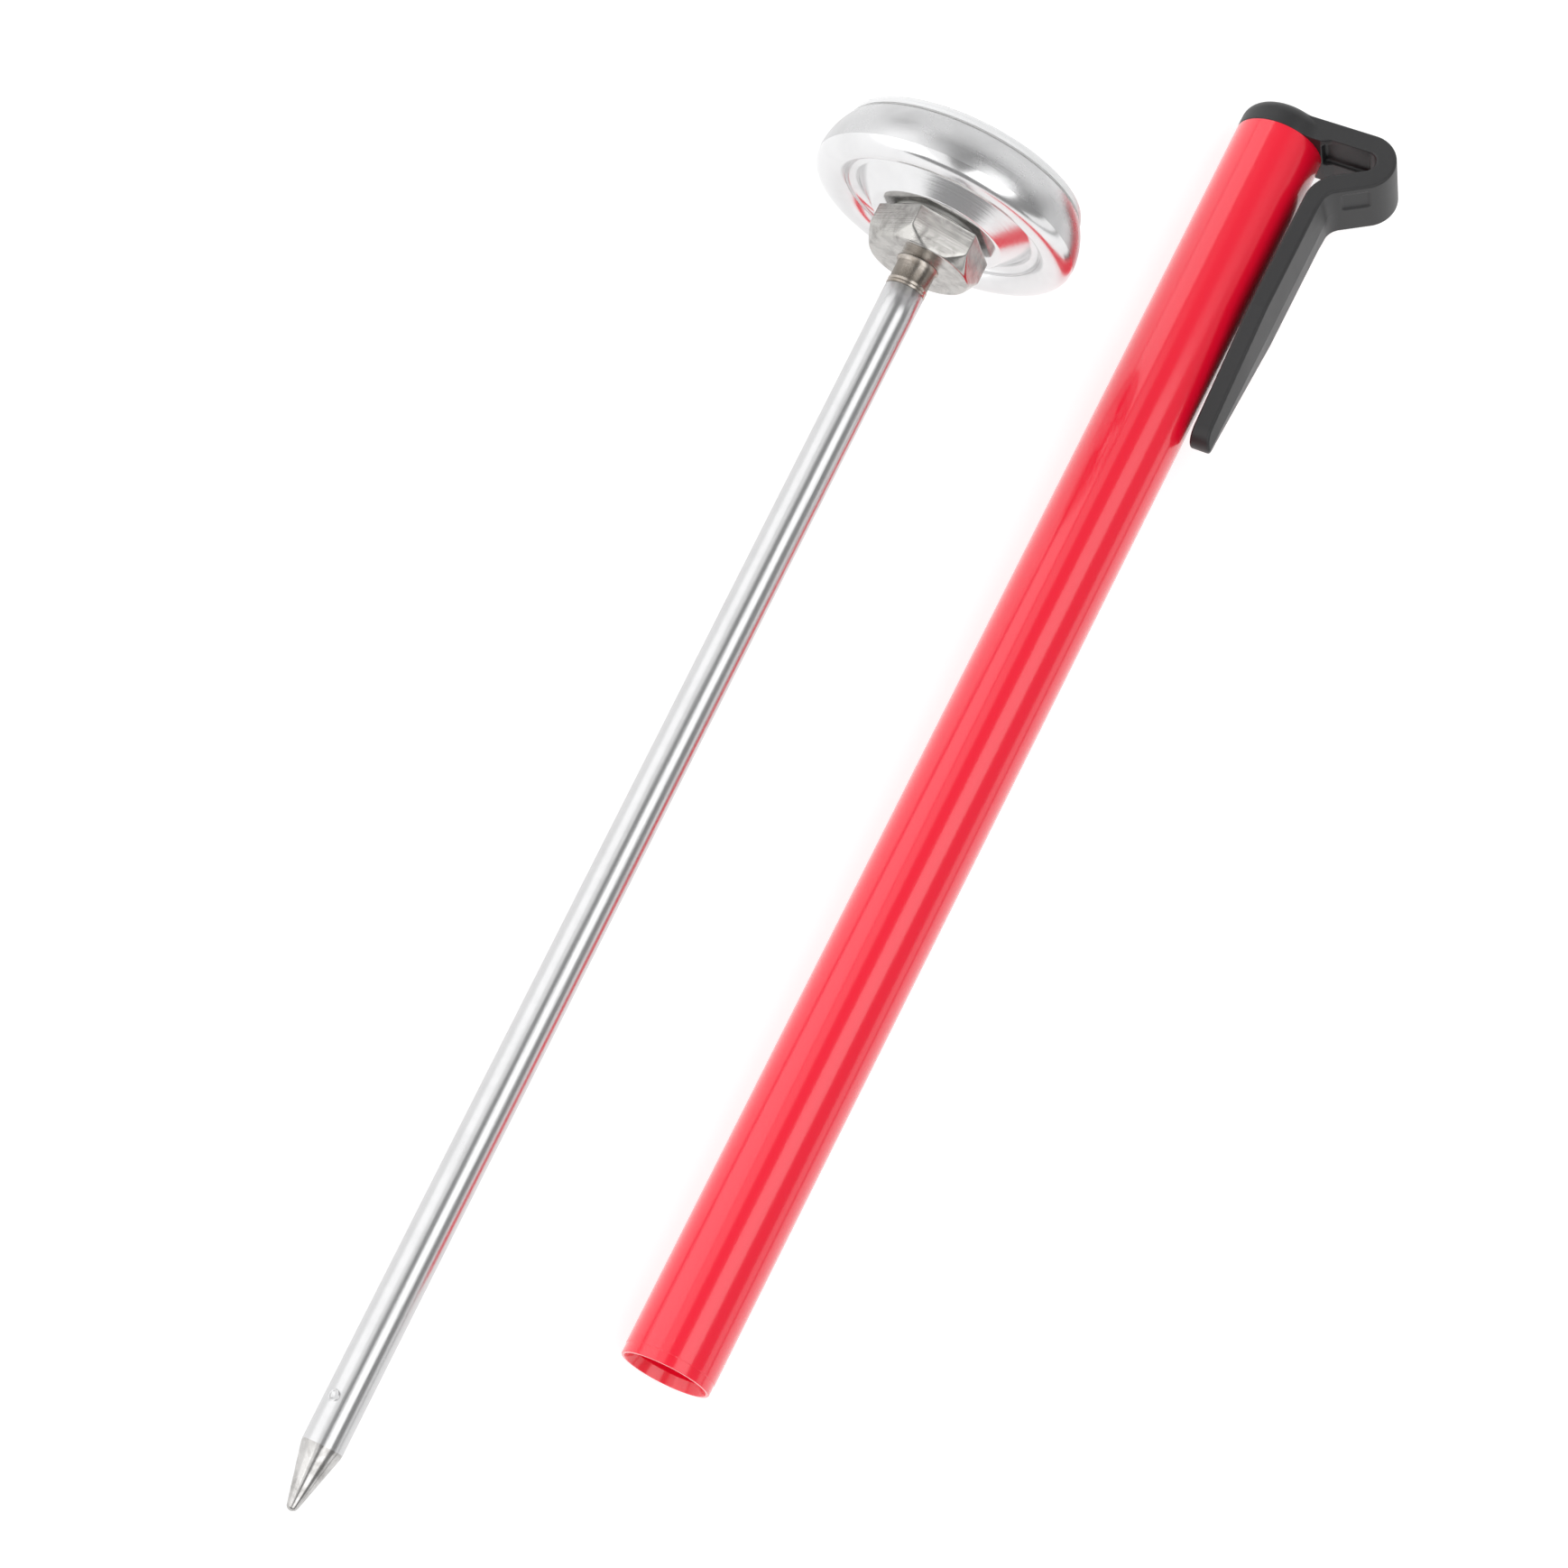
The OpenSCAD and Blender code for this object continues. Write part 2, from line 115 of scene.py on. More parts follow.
# %% [markdown]
# Most pieces here are turned on a lathe, spun or drawn, so their shape is a profile carried
# round an axis. The grid of points is worked out as one array. Its rows may be welded at the
# axis, where a turned piece comes to a pole. The UV map holds the turn (0 to 1) across and the
# way along the profile in millimetres up, so that turning lines can follow the surface.

# %% Mesh helpers
MERGE = 2e-7
ROUND_SHARE = 0.42
SUPPORT = 0.15


def make_object(name, points, faces, uv=None, sharp=40):
    """Builds a mesh from points (n, 3) in metres and quads (m, 4), merges its poles and seams,
    and turns its faces outwards."""
    mesh = bpy.data.meshes.new(name)
    mesh.vertices.add(len(points))
    mesh.vertices.foreach_set("co", np.asarray(points, np.float32).ravel())
    mesh.loops.add(faces.size)
    mesh.loops.foreach_set("vertex_index", faces.astype(np.int32).ravel())
    mesh.polygons.add(len(faces))
    first_loops = np.arange(0, faces.size, faces.shape[1], dtype=np.int32)
    mesh.polygons.foreach_set("loop_start", first_loops)
    mesh.update(calc_edges=True)
    if uv is not None:
        layer = mesh.uv_layers.new(name="along")
        layer.data.foreach_set("uv", np.asarray(uv, np.float32).reshape(-1, 2).ravel())
    work = bmesh.new()
    work.from_mesh(mesh)
    bmesh.ops.remove_doubles(work, verts=work.verts, dist=MERGE)
    bmesh.ops.dissolve_degenerate(work, edges=work.edges, dist=1e-8)
    bmesh.ops.recalc_face_normals(work, faces=work.faces)
    work.to_mesh(mesh)
    work.free()
    mesh.shade_smooth()
    if sharp:
        mesh.set_sharp_from_angle(angle=math.radians(sharp))
    piece = bpy.data.objects.new(name, mesh)
    bpy.context.scene.collection.objects.link(piece)
    return piece


def skin(name, grid, close_rows=False, along=None, sharp=40):
    """Skins a grid (rows, columns, 3) in metres whose columns go once round: each cell of four
    neighbours is a face. The UV map is (column / columns, way along the rows in mm)."""
    rows, columns = grid.shape[:2]
    last = rows if close_rows else rows - 1
    i, j = np.meshgrid(np.arange(last), np.arange(columns), indexing="ij")
    a = i * columns + j
    b = i * columns + (j + 1) % columns
    c = ((i + 1) % rows) * columns + (j + 1) % columns
    d = ((i + 1) % rows) * columns + j
    faces = np.stack([a, b, c, d], -1).reshape(-1, 4)
    if along is None:
        along = np.arange(rows, dtype=float)
    along = np.append(along, along[-1] + 0.1)
    u0, u1 = j / columns, (j + 1) / columns
    v0, v1 = along[i], along[i + 1]
    uv = np.stack([np.stack([u0, v0], -1), np.stack([u1, v0], -1),
                   np.stack([u1, v1], -1), np.stack([u0, v1], -1)], -2)
    return make_object(name, grid.reshape(-1, 3), faces, uv.reshape(-1, 2), sharp)


def rounded(corners, radii, steps=5):
    """A profile of (radius, height) corners with each corner rounded: a quadratic curve from one
    tangent point to the other, and a support point just outside each. A rounding takes no more
    than ROUND_SHARE of a side."""
    corners = np.asarray(corners, float)
    out = [corners[0]]
    for k in range(1, len(corners) - 1):
        before, here, after = corners[k - 1], corners[k], corners[k + 1]
        size = radii[k] if np.ndim(radii) else radii
        to_before = (before - here) / np.linalg.norm(before - here)
        to_after = (after - here) / np.linalg.norm(after - here)
        reach = min(size, ROUND_SHARE * np.linalg.norm(before - here),
                    ROUND_SHARE * np.linalg.norm(after - here))
        if reach < 1e-6:
            out.append(here)
            continue
        t = np.linspace(0, 1, steps)[:, None]
        start, end = here + to_before * reach, here + to_after * reach
        curve = (1 - t) ** 2 * start + 2 * t * (1 - t) * here + t ** 2 * end
        out += [start + to_before * reach * SUPPORT, *curve, end + to_after * reach * SUPPORT]
    out.append(corners[-1])
    return np.array(out)


def circle_points(centre, radius, start, end, steps):
    """Points of an arc: centre + radius * (cos, sin), from one angle to another in degrees."""
    turn = np.radians(np.linspace(start, end, steps))
    return np.asarray(centre) + radius * np.stack([np.cos(turn), np.sin(turn)], -1)


def fill_in(profile, longest):
    """Adds points along a profile so that no step is longer than a limit in mm."""
    profile = np.asarray(profile, float)
    parts = [profile[:1]]
    for k in range(len(profile) - 1):
        step = profile[k + 1] - profile[k]
        count = max(1, int(math.ceil(np.linalg.norm(step) / longest)))
        parts.append(profile[k] + step * (np.arange(1, count + 1) / count)[:, None])
    return np.concatenate(parts)


def turned(name, base, profile, columns=160, push=None, close=False, sharp=40):
    """A turned piece: each profile point (r, z) goes round as (r cos t, r sin t, z). push(t, r, z)
    adds to r, for a mark that doesn't go all the way round."""
    profile = np.asarray(profile, float)
    t = np.arange(columns) * 2 * math.pi / columns
    r, z, t = profile[:, 0][:, None], profile[:, 1][:, None], t[None, :]
    radius = r + (push(t, r, z) if push else 0 * t)
    grid = np.stack([radius * np.cos(t), radius * np.sin(t), z + 0 * t], -1)
    steps = np.linalg.norm(np.diff(profile, axis=0), axis=1)
    piece = skin(name, on(base, grid), close, np.concatenate([[0], np.cumsum(steps)]), sharp)
    print(name, "has", len(piece.data.polygons), "faces")
    return piece


def smooth_step(low, high, x):
    """0 below low, 1 above high, and 3x^2 - 2x^3 between."""
    x = np.clip((x - low) / (high - low), 0, 1)
    return x * x * (3 - 2 * x)


# %% [markdown]
# Turned, drawn and spun metal all carry fine lines that follow the tool. One group makes them:
# noise read on the piece's own UV map, squeezed hard one way and stretched the other. A second
# group makes faint wipe marks and dust by reading noise on Object coordinates, and a third makes
# the fine grain of a moulded plastic. They put out heights and masks only.

# %% Node groups
def group(name, inputs, outputs):
    """Starts a shader group with float sockets, and returns it with its input and output nodes."""
    tree = bpy.data.node_groups.new(name, "ShaderNodeTree")
    for label, value in inputs:
        socket = tree.interface.new_socket(label, in_out="INPUT", socket_type="NodeSocketFloat")
        socket.default_value = value
    for label in outputs:
        tree.interface.new_socket(label, in_out="OUTPUT", socket_type="NodeSocketFloat")
    return tree, tree.nodes.new("NodeGroupInput"), tree.nodes.new("NodeGroupOutput")


def node(tree, kind, settings=None, **links):
    """Adds a node, sets its properties, and links or sets its inputs by name or by number."""
    made = tree.nodes.new(kind)
    for key, value in (settings or {}).items():
        setattr(made, key, value)
    for key, value in links.items():
        by_number = key[0] == "i" and key[1:].isdigit()
        socket = made.inputs[int(key[1:]) if by_number else key.replace("_", " ")]
        if isinstance(value, bpy.types.NodeSocket):
            tree.links.new(value, socket)
        else:
            socket.default_value = value
    return made


lines, lines_in, lines_out = group(
    "tool lines", [("Across", 4.0), ("Along", 14.0), ("Wander", 0.4)], ["Height"])
uv_map = node(lines, "ShaderNodeUVMap", {"uv_map": "along"})
split = node(lines, "ShaderNodeSeparateXYZ", i0=uv_map.outputs[0])
round_way = node(lines, "ShaderNodeMath", {"operation": "MULTIPLY"}, i0=split.outputs[0],
                 i1=lines_in.outputs["Across"])
along_way = node(lines, "ShaderNodeMath", {"operation": "MULTIPLY"}, i0=split.outputs[1],
                 i1=lines_in.outputs["Along"])
joined = node(lines, "ShaderNodeCombineXYZ", i0=round_way.outputs[0], i1=along_way.outputs[0])
fine = node(lines, "ShaderNodeTexNoise", Vector=joined.outputs[0], Scale=1.0, Detail=3.0,
            Roughness=0.65)
coarse = node(lines, "ShaderNodeTexNoise", Vector=joined.outputs[0], Scale=0.17, Detail=1.0)
blend_lines = node(lines, "ShaderNodeMix", {"data_type": "FLOAT"},
                   i0=lines_in.outputs["Wander"], i2=fine.outputs[0], i3=coarse.outputs[0])
lines.links.new(blend_lines.outputs[0], lines_out.inputs["Height"])

wear, wear_in, wear_out = group("wipe marks", [("Size", 160.0), ("Amount", 0.5)], ["Mask"])
place = node(wear, "ShaderNodeTexCoord")
cloud = node(wear, "ShaderNodeTexNoise", Vector=place.outputs["Object"],
             Scale=wear_in.outputs["Size"], Detail=4.0, Roughness=0.6, Distortion=0.4)
stretch = node(wear, "ShaderNodeMapRange", i0=cloud.outputs[0], i1=0.42, i2=0.72, i3=0.0, i4=1.0)
amount = node(wear, "ShaderNodeMath", {"operation": "MULTIPLY"}, i0=stretch.outputs[0],
              i1=wear_in.outputs["Amount"])
wear.links.new(amount.outputs[0], wear_out.inputs["Mask"])

GRAIN_SIZE = 9000.0
grain, grain_in, grain_out = group("moulded grain", [("Size", GRAIN_SIZE)], ["Height"])
spot = node(grain, "ShaderNodeTexCoord")
pores = node(grain, "ShaderNodeTexNoise", Vector=spot.outputs["Object"],
             Scale=grain_in.outputs["Size"], Detail=2.0, Roughness=0.5)
grain.links.new(pores.outputs[0], grain_out.inputs["Height"])
print("groups:", [g.name for g in bpy.data.node_groups])

# %% [markdown]
# A material is one Principled shader. The base colour, metal and roughness set the finish, and
# the groups above only vary the roughness a little and bend the normal. That keeps it plain
# enough to export, while no surface is a single flat colour.

# %% Material helper
COAT_ROUGH, COAT_IOR = 0.09, 1.5
DEEP_RADIUS, DEEP_SCALE = (1.0, 0.2, 0.1), 0.0008


def use(tree, group_tree, **values):
    """Places a group in a material with its own values."""
    made = tree.nodes.new("ShaderNodeGroup")
    made.node_tree = group_tree
    for key, value in values.items():
        made.inputs[key].default_value = value
    return made


def finish_of(name, colour, second, rough, metal=0.0, ior=1.5, tool=None, bump=0.0,
              grainy=0.0, marks=(160.0, 0.5), coat=0.0, deep=0.0):
    """A finish: colour drifts to second, and roughness from rough[0] to rough[1], by the wipe
    marks mask. tool = (Across, Along, Wander) adds tool lines of height bump in mm, and grainy
    adds a moulded grain of that height in mm."""
    made = bpy.data.materials.new(name)
    made.use_nodes = True
    tree = made.node_tree
    shader = tree.nodes["Principled BSDF"]
    shader.inputs["Metallic"].default_value = metal
    shader.inputs["IOR"].default_value = ior
    shader.inputs["Coat Weight"].default_value = coat
    shader.inputs["Coat Roughness"].default_value = COAT_ROUGH
    shader.inputs["Coat IOR"].default_value = COAT_IOR
    if deep:
        shader.inputs["Subsurface Weight"].default_value = deep
        shader.inputs["Subsurface Radius"].default_value = DEEP_RADIUS
        shader.inputs["Subsurface Scale"].default_value = DEEP_SCALE
    worn = use(tree, wear, Size=marks[0], Amount=marks[1])
    mask = worn.outputs["Mask"]
    mixed = node(tree, "ShaderNodeMix", {"data_type": "RGBA"}, i0=mask, i6=(*colour, 1),
                 i7=(*second, 1))
    tree.links.new(mixed.outputs[2], shader.inputs["Base Color"])
    roughness = node(tree, "ShaderNodeMapRange", i0=mask, i1=0.0, i2=1.0, i3=rough[0], i4=rough[1])
    tree.links.new(roughness.outputs[0], shader.inputs["Roughness"])
    height = None
    if tool:
        cut = use(tree, lines, Across=tool[0], Along=tool[1], Wander=tool[2])
        height, distance = cut.outputs["Height"], bump
    if grainy:
        pores_used = use(tree, grain, Size=GRAIN_SIZE)
        height, distance = pores_used.outputs["Height"], grainy
    if height:
        raised = node(tree, "ShaderNodeBump", Strength=1.0, Distance=distance * MM, Height=height)
        tree.links.new(raised.outputs[0], shader.inputs["Normal"])
    return made


def dress(piece, *finishes):
    """Gives a piece its finishes, in slot order."""
    piece.data.materials.clear()
    for one in finishes:
        piece.data.materials.append(one)


# %% [markdown]
# The stem is a thin stainless tube, drawn to size and polished along its length, so it mirrors
# the room in long stripes. A turned point closes its end. Near the point, a spot weld holds the
# inner coil's anchor, and it shows as a small crater with a raised rim.

# %% Stem tube and its point
STEM_R = 1.9
TUBE_WALL = 0.25
POINT_LEN = 6.0
TIP_R = 0.55
NUT_S = 125.25
WELD_S = 122.45
SPOT_S = 10.2
SPOT_TURN = math.radians(-134)
SPOT_REACH = 1.0
BOWL_DEPTH, BOWL_R = 0.13, 0.26
RING_H, RING_R, RING_W = 0.08, 0.46, 0.09
drawn = finish_of("drawn steel", (0.61, 0.61, 0.615), (0.55, 0.55, 0.555), metal=1.0,
                  rough=(0.24, 0.31), tool=(60.0, 0.12, 0.3), bump=0.010, marks=(420.0, 0.5))


def lower_of(a, b, soft):
    """The smaller of a and b, with the corner between them rounded off over soft."""
    h = np.clip(1 - np.abs(a - b) / soft, 0, 1)
    return np.minimum(a, b) - soft * h * h / 4


def spot_weld(t, r, z):
    """A crater at (SPOT_TURN, SPOT_S): a bowl inside a narrow raised ring."""
    across = (np.mod(t - SPOT_TURN + math.pi, 2 * math.pi) - math.pi) * STEM_R
    away = np.hypot(across, z - SPOT_S)
    bowl = -BOWL_DEPTH * np.exp(-(away / BOWL_R) ** 2)
    rim = RING_H * np.exp(-((away - RING_R) / RING_W) ** 2)
    return np.where(r > STEM_R - 0.1, bowl + rim, 0)


tube_profile = np.concatenate([
    [(STEM_R - TUBE_WALL, POINT_LEN), (STEM_R, POINT_LEN), (STEM_R, SPOT_S - SPOT_REACH)],
    [(STEM_R, z) for z in np.arange(SPOT_S - 0.95, SPOT_S + 1.0, 0.05)],
    fill_in([(STEM_R, SPOT_S + SPOT_REACH), (STEM_R, WELD_S - 0.08), (STEM_R - 0.06, WELD_S)], 3.0),
    [(STEM_R - TUBE_WALL, WELD_S), (STEM_R - TUBE_WALL, POINT_LEN)]])
stem = turned("stem", STEM, tube_profile, 256, spot_weld)

SHOULDER = POINT_LEN - 0.2
flank = (math.atan2(STEM_R, SHOULDER - TIP_R)
         - math.asin(TIP_R / math.hypot(STEM_R, SHOULDER - TIP_R)))
tip_arc = circle_points((0, TIP_R), TIP_R, -90, -math.degrees(flank), 12)
cone_s = np.concatenate([np.linspace(tip_arc[-1][1], SHOULDER - 0.3, 8)[1:],
                         np.linspace(SHOULDER - 0.25, POINT_LEN, 20)])
cone_r = lower_of(STEM_R + (cone_s - SHOULDER) * math.tan(flank), STEM_R + 0 * cone_s, 0.05)
point_profile = np.concatenate([tip_arc, np.stack([cone_r, cone_s], -1),
                                [(STEM_R - 0.3, POINT_LEN), (0, POINT_LEN)]])
point = turned("point", STEM, point_profile, 128)
ground = finish_of("ground point", (0.57, 0.56, 0.55), (0.26, 0.25, 0.24), metal=1.0,
                   rough=(0.18, 0.26), tool=(3.0, 9.0, 0.3), bump=0.004, marks=(620.0, 0.9))
dress(stem, drawn)
dress(point, ground)
for piece, stands_for in ((stem, "stem_tube"), (point, "stem_point")):
    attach(piece, "probe")
    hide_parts(stands_for)

# %% [markdown]
# The nut is cut from hexagonal bar. Its stem-side face is turned to a cone, which leaves a
# curved edge on each flat. Both shapes are radii here: a hexagon's radius changes with the
# turn, a cone's with the height, and the nut is the lower of the two, with the change
# softened over a tenth of a millimetre.

# %% Nut
NUT_AF = 10.0
NUT_FACE_R = 4.95
NUT_SLOPE = 0.59
NUT_TOP_S = 128.8
NECK_R = 2.5
NECK_TOP_S = 130.9
SPIGOT_R, SPIGOT_LEN, WAY_R, SEAT_R, SEAT_LEN = 1.63, 7.0, 0.6, 1.65, 2.42
NUT_SOFT, CONE_SOFT, EDGE_IN, EDGE_REACH = 0.14, 0.12, 0.12, 0.04


def hexagon(t):
    """Radius of a hexagon at a turn: half its width over the cosine of the way to a flat's middle,
    for the two nearest flats."""
    near = np.mod(t, math.pi / 3) - math.pi / 6
    other = math.pi / 3 - np.abs(near)
    return lower_of(NUT_AF / 2 / np.cos(near), NUT_AF / 2 / np.maximum(np.cos(other), 0.2), NUT_SOFT)


def rings(radius, height, t):
    """Rings (rows, turns, 3) at a radius and a height, given by row or by row and turn."""
    return np.stack(np.broadcast_arrays(radius * np.cos(t), radius * np.sin(t), height + 0 * t), -1)


corner_turns = np.radians(np.array([-1.8, -1.2, -0.8, -0.5, -0.25, 0, 0.25, 0.5, 0.8, 1.2, 1.8]))
flat_turns = np.radians(np.linspace(3, 57, 28))
one_side = np.concatenate([corner_turns, flat_turns])
nut_t = np.concatenate([one_side + k * math.pi / 3 for k in range(6)])[None, :]
nut_z = np.concatenate([
    NUT_S + np.array([0.0, 0.02, 0.05, 0.09]), np.linspace(NUT_S + 0.13, NUT_S + 2.3, 36),
    np.linspace(NUT_S + 2.5, NUT_TOP_S - 0.2, 5),
    NUT_TOP_S - np.array([0.1, 0.06, 0.03, 0.01, 0.0])])[:, None]
edge_in = (EDGE_IN * np.exp(-(nut_z - NUT_S) / EDGE_REACH)
           + EDGE_IN * np.exp(-(NUT_TOP_S - nut_z) / EDGE_REACH))
nut_r = lower_of(hexagon(nut_t) + 0 * nut_z, NUT_FACE_R + NUT_SLOPE * (nut_z - NUT_S) + 0 * nut_t,
                 CONE_SOFT) - edge_in
shrink = np.array([0.55, 0.75, 0.97])[:, None]
spigot = np.array([(WAY_R, NUT_S - SPIGOT_LEN), (SPIGOT_R, NUT_S - SPIGOT_LEN), (SPIGOT_R, NUT_S)])
neck = np.array([(NECK_R + 0.3, NUT_TOP_S), (NECK_R, NUT_TOP_S), (NECK_R, NECK_TOP_S),
                 (SEAT_R, NECK_TOP_S), (SEAT_R, NECK_TOP_S - SEAT_LEN), (WAY_R, NECK_TOP_S - SEAT_LEN)])
nut_grid = np.concatenate([
    rings(spigot[:, :1], spigot[:, 1:], nut_t), rings(nut_r[:1] * shrink, NUT_S, nut_t),
    rings(nut_r, nut_z, nut_t), rings(nut_r[-1:] * shrink[-1:], NUT_TOP_S, nut_t),
    rings(neck[:, :1], neck[:, 1:], nut_t)])
nut_along = np.concatenate([[-9, -8, -1], np.linspace(0, 3, len(shrink)), 3 + (nut_z[:, 0] - NUT_S),
                            np.linspace(7, 14, 1 + len(neck))])
nut = skin("nut", on(STEM, nut_grid), True, nut_along, sharp=60)
milled = finish_of("milled steel", (0.50, 0.49, 0.47), (0.20, 0.19, 0.18), metal=1.0,
                   rough=(0.12, 0.20), tool=(1.0, 9.0, 0.25), bump=0.03, marks=(700.0, 0.7))
dress(nut, milled)
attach(nut, "probe")
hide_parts("hex_nut")
print("nut", len(nut.data.polygons), "faces")

# %% [markdown]
# The weld that joins the stem to the nut leaves a low ringed collar, browned by the heat. It is
# a short turned piece with two grooves, and its colour runs from straw to brown.

# %% Weld collar
weld_profile = np.array([
    (SPIGOT_R + 0.02, WELD_S + 0.02), (STEM_R - 0.02, WELD_S + 0.02), (STEM_R + 0.03, WELD_S + 0.08),
    (STEM_R + 0.04, WELD_S + 0.22), (STEM_R + 0.02, WELD_S + 0.30), (STEM_R - 0.03, WELD_S + 0.36),
    (STEM_R + 0.01, WELD_S + 0.42), (STEM_R + 0.04, WELD_S + 0.52), (STEM_R + 0.03, WELD_S + 0.66),
    (STEM_R - 0.03, WELD_S + 0.74), (STEM_R - 0.03, NUT_S - 0.45), (STEM_R + 0.01, NUT_S - 0.28),
    (STEM_R + 0.07, NUT_S - 0.15), (STEM_R + 0.18, NUT_S - 0.04), (STEM_R + 0.20, NUT_S - 0.02),
    (SPIGOT_R + 0.02, NUT_S - 0.02)])
weld = turned("weld_collar", STEM, weld_profile, 128, close=True)
tinted = finish_of("tinted steel", (0.50, 0.46, 0.42), (0.27, 0.23, 0.19), metal=1.0,
                   rough=(0.22, 0.34), tool=(8.0, 5.0, 0.4), bump=0.014, marks=(520.0, 1.0))
dress(weld, tinted)
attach(weld, "probe")
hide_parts("neck_weld")

# %% [markdown]
# The case is one disc of stainless sheet, spun over a former: a flat boss for the nut, a groove
# round it, a rolled back edge, and a side wall that leans in to a lip for the lens. Its back is
# polished and its side is left satin, so the rows of the profile are shared between two finishes.

# %% Case
SHEET = 0.45
RIM_R, ROLL_R = 13.0, 1.65
BOSS_S, GROOVE_S, ROLL_S, WALL_H = 129.16, 131.26, 131.31, 3.65
LIP_R = 11.87
BOSS_R = 6.8
lean = RIM_R - LIP_R
WALL_R = (lean ** 2 + WALL_H ** 2) / (2 * lean)
wall_end = math.degrees(math.asin(WALL_H / WALL_R))
roll_c, wall_c = (RIM_R - ROLL_R, ROLL_S), (RIM_R - WALL_R, ROLL_S)
BOSS_CORNER, DIP_ROUND, ROLL_FROM = 0.5, 0.7, 200
boss_c = np.array([BOSS_R - BOSS_CORNER, BOSS_S + BOSS_CORNER])
dip_c = np.array([RIM_R - ROLL_R + ROLL_R * math.cos(math.radians(ROLL_FROM)) - DIP_ROUND,
                  GROOVE_S - DIP_ROUND])
between = dip_c - boss_c
slope = math.degrees(math.atan2(between[1], between[0])
                     + math.asin((BOSS_CORNER + DIP_ROUND) / np.linalg.norm(between)))
back_line = np.concatenate([
    fill_in([(NECK_R + 0.1, BOSS_S), (BOSS_R - 0.6, BOSS_S)], 0.7),
    circle_points(boss_c, BOSS_CORNER, 270, 270 + slope, 8),
    circle_points(dip_c, DIP_ROUND, 90 + slope, 0, 16),
    circle_points(roll_c, ROLL_R, ROLL_FROM, 350, 40)])
side_line = np.concatenate([
    circle_points(wall_c, WALL_R, 1.0, wall_end - 0.6, 14), [(LIP_R - 0.02, ROLL_S + WALL_H)]])
inside_line = np.concatenate([
    circle_points(wall_c, WALL_R - SHEET, wall_end, 1.0, 10),
    circle_points(roll_c, ROLL_R - SHEET, 350, ROLL_FROM, 16),
    circle_points(dip_c, DIP_ROUND + SHEET, 0, 90 + slope, 10),
    [(boss_c[0], BOSS_S + SHEET), (NECK_R + 0.1, BOSS_S + SHEET)]])
case_profile = np.concatenate([back_line, side_line, inside_line])
case = turned("case", STEM, case_profile, 256, close=True, sharp=0)
polished = finish_of("polished case", (0.76, 0.76, 0.765), (0.70, 0.70, 0.705), metal=1.0,
                     rough=(0.17, 0.24), tool=(1.2, 3.0, 0.5), bump=0.012, marks=(260.0, 0.7))
satin = finish_of("satin case", (0.60, 0.60, 0.605), (0.54, 0.54, 0.545), metal=1.0,
                  rough=(0.27, 0.36), tool=(1.5, 12.0, 0.3), bump=0.02, marks=(300.0, 0.7))
dress(case, polished, satin)


def faces_at(piece):
    """Each face's distance from the stem's axis and its height along it, in mm."""
    centres = np.empty(len(piece.data.polygons) * 3, np.float32)
    piece.data.polygons.foreach_get("center", centres)
    local = centres.reshape(-1, 3) / MM - STEM["origin"]
    return np.hypot(local @ STEM["x"], local @ STEM["y"]), local @ STEM["z"]


radius, height = faces_at(case)
on_side = (height > ROLL_S - 0.2) & (radius > RIM_R - 1.5)
case.data.polygons.foreach_set("material_index", on_side.astype(np.int32))
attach(case, "dial_head")
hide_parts("case_back")

# %% [markdown]
# A clear moulded window closes the head. A thin pale gasket seats it on the lip, and it shows as
# a fine line round the edge. The window is a closed solid with a rounded edge and one fine step.
# Its rim is frosted, so the faces near the edge take a second material.

# %% Gasket and lens
GASKET_S = 134.98
oval = circle_points((0, 0), 1.0, 0, 345, 20)
gasket_profile = oval * [0.14, 0.055] + [LIP_R - 0.18, GASKET_S + 0.08]
gasket = turned("gasket", STEM, gasket_profile, 192, close=True, sharp=0)
pale_rubber = finish_of("gasket rubber", (0.62, 0.62, 0.61), (0.68, 0.68, 0.67), rough=(0.4, 0.6),
                        grainy=0.002)
dress(gasket, pale_rubber)
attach(gasket, "dial_head")
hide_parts("lens_gasket")

LENS_S, LENS_TOP = 135.18, 136.12
lens_corners = [(0, LENS_S - 0.7), (LIP_R - 0.62, LENS_S - 0.7), (LIP_R - 0.62, LENS_S - 0.02),
                (LIP_R - 0.07, LENS_S), (LIP_R - 0.07, LENS_S + 0.34), (LIP_R - 0.20, LENS_S + 0.40),
                (LIP_R - 0.24, LENS_TOP - 0.22), (LIP_R - 0.60, LENS_TOP), (0, LENS_TOP)]
lens_profile = rounded(lens_corners, [0, 0.05, 0.03, 0.05, 0.08, 0.05, 0.25, 0.4, 0], 6)
lens = turned("window", STEM, fill_in(lens_profile, 1.5), 192, sharp=50)
clear = bpy.data.materials.new("clear window")
clear.use_nodes = True
shader = clear.node_tree.nodes["Principled BSDF"]
shader.inputs["Base Color"].default_value = (0.985, 0.99, 0.99, 1)
shader.inputs["Roughness"].default_value = 0.03
shader.inputs["IOR"].default_value = 1.49
shader.inputs["Transmission Weight"].default_value = 1.0
rim = clear.copy()
rim.name = "window rim"
rim_shader = rim.node_tree.nodes["Principled BSDF"]
rim_shader.inputs["Base Color"].default_value = (0.96, 0.965, 0.97, 1)
rim_shader.inputs["Roughness"].default_value = 0.25
rim_shader.inputs["Transmission Weight"].default_value = 0.25
dress(lens, clear, rim)
radius, height = faces_at(lens)
on_rim = (radius > LIP_R - 0.55) & (height < LENS_TOP - 0.08)
lens.data.polygons.foreach_set("material_index", on_rim.astype(np.int32))
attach(lens, "dial_head")
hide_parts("lens")

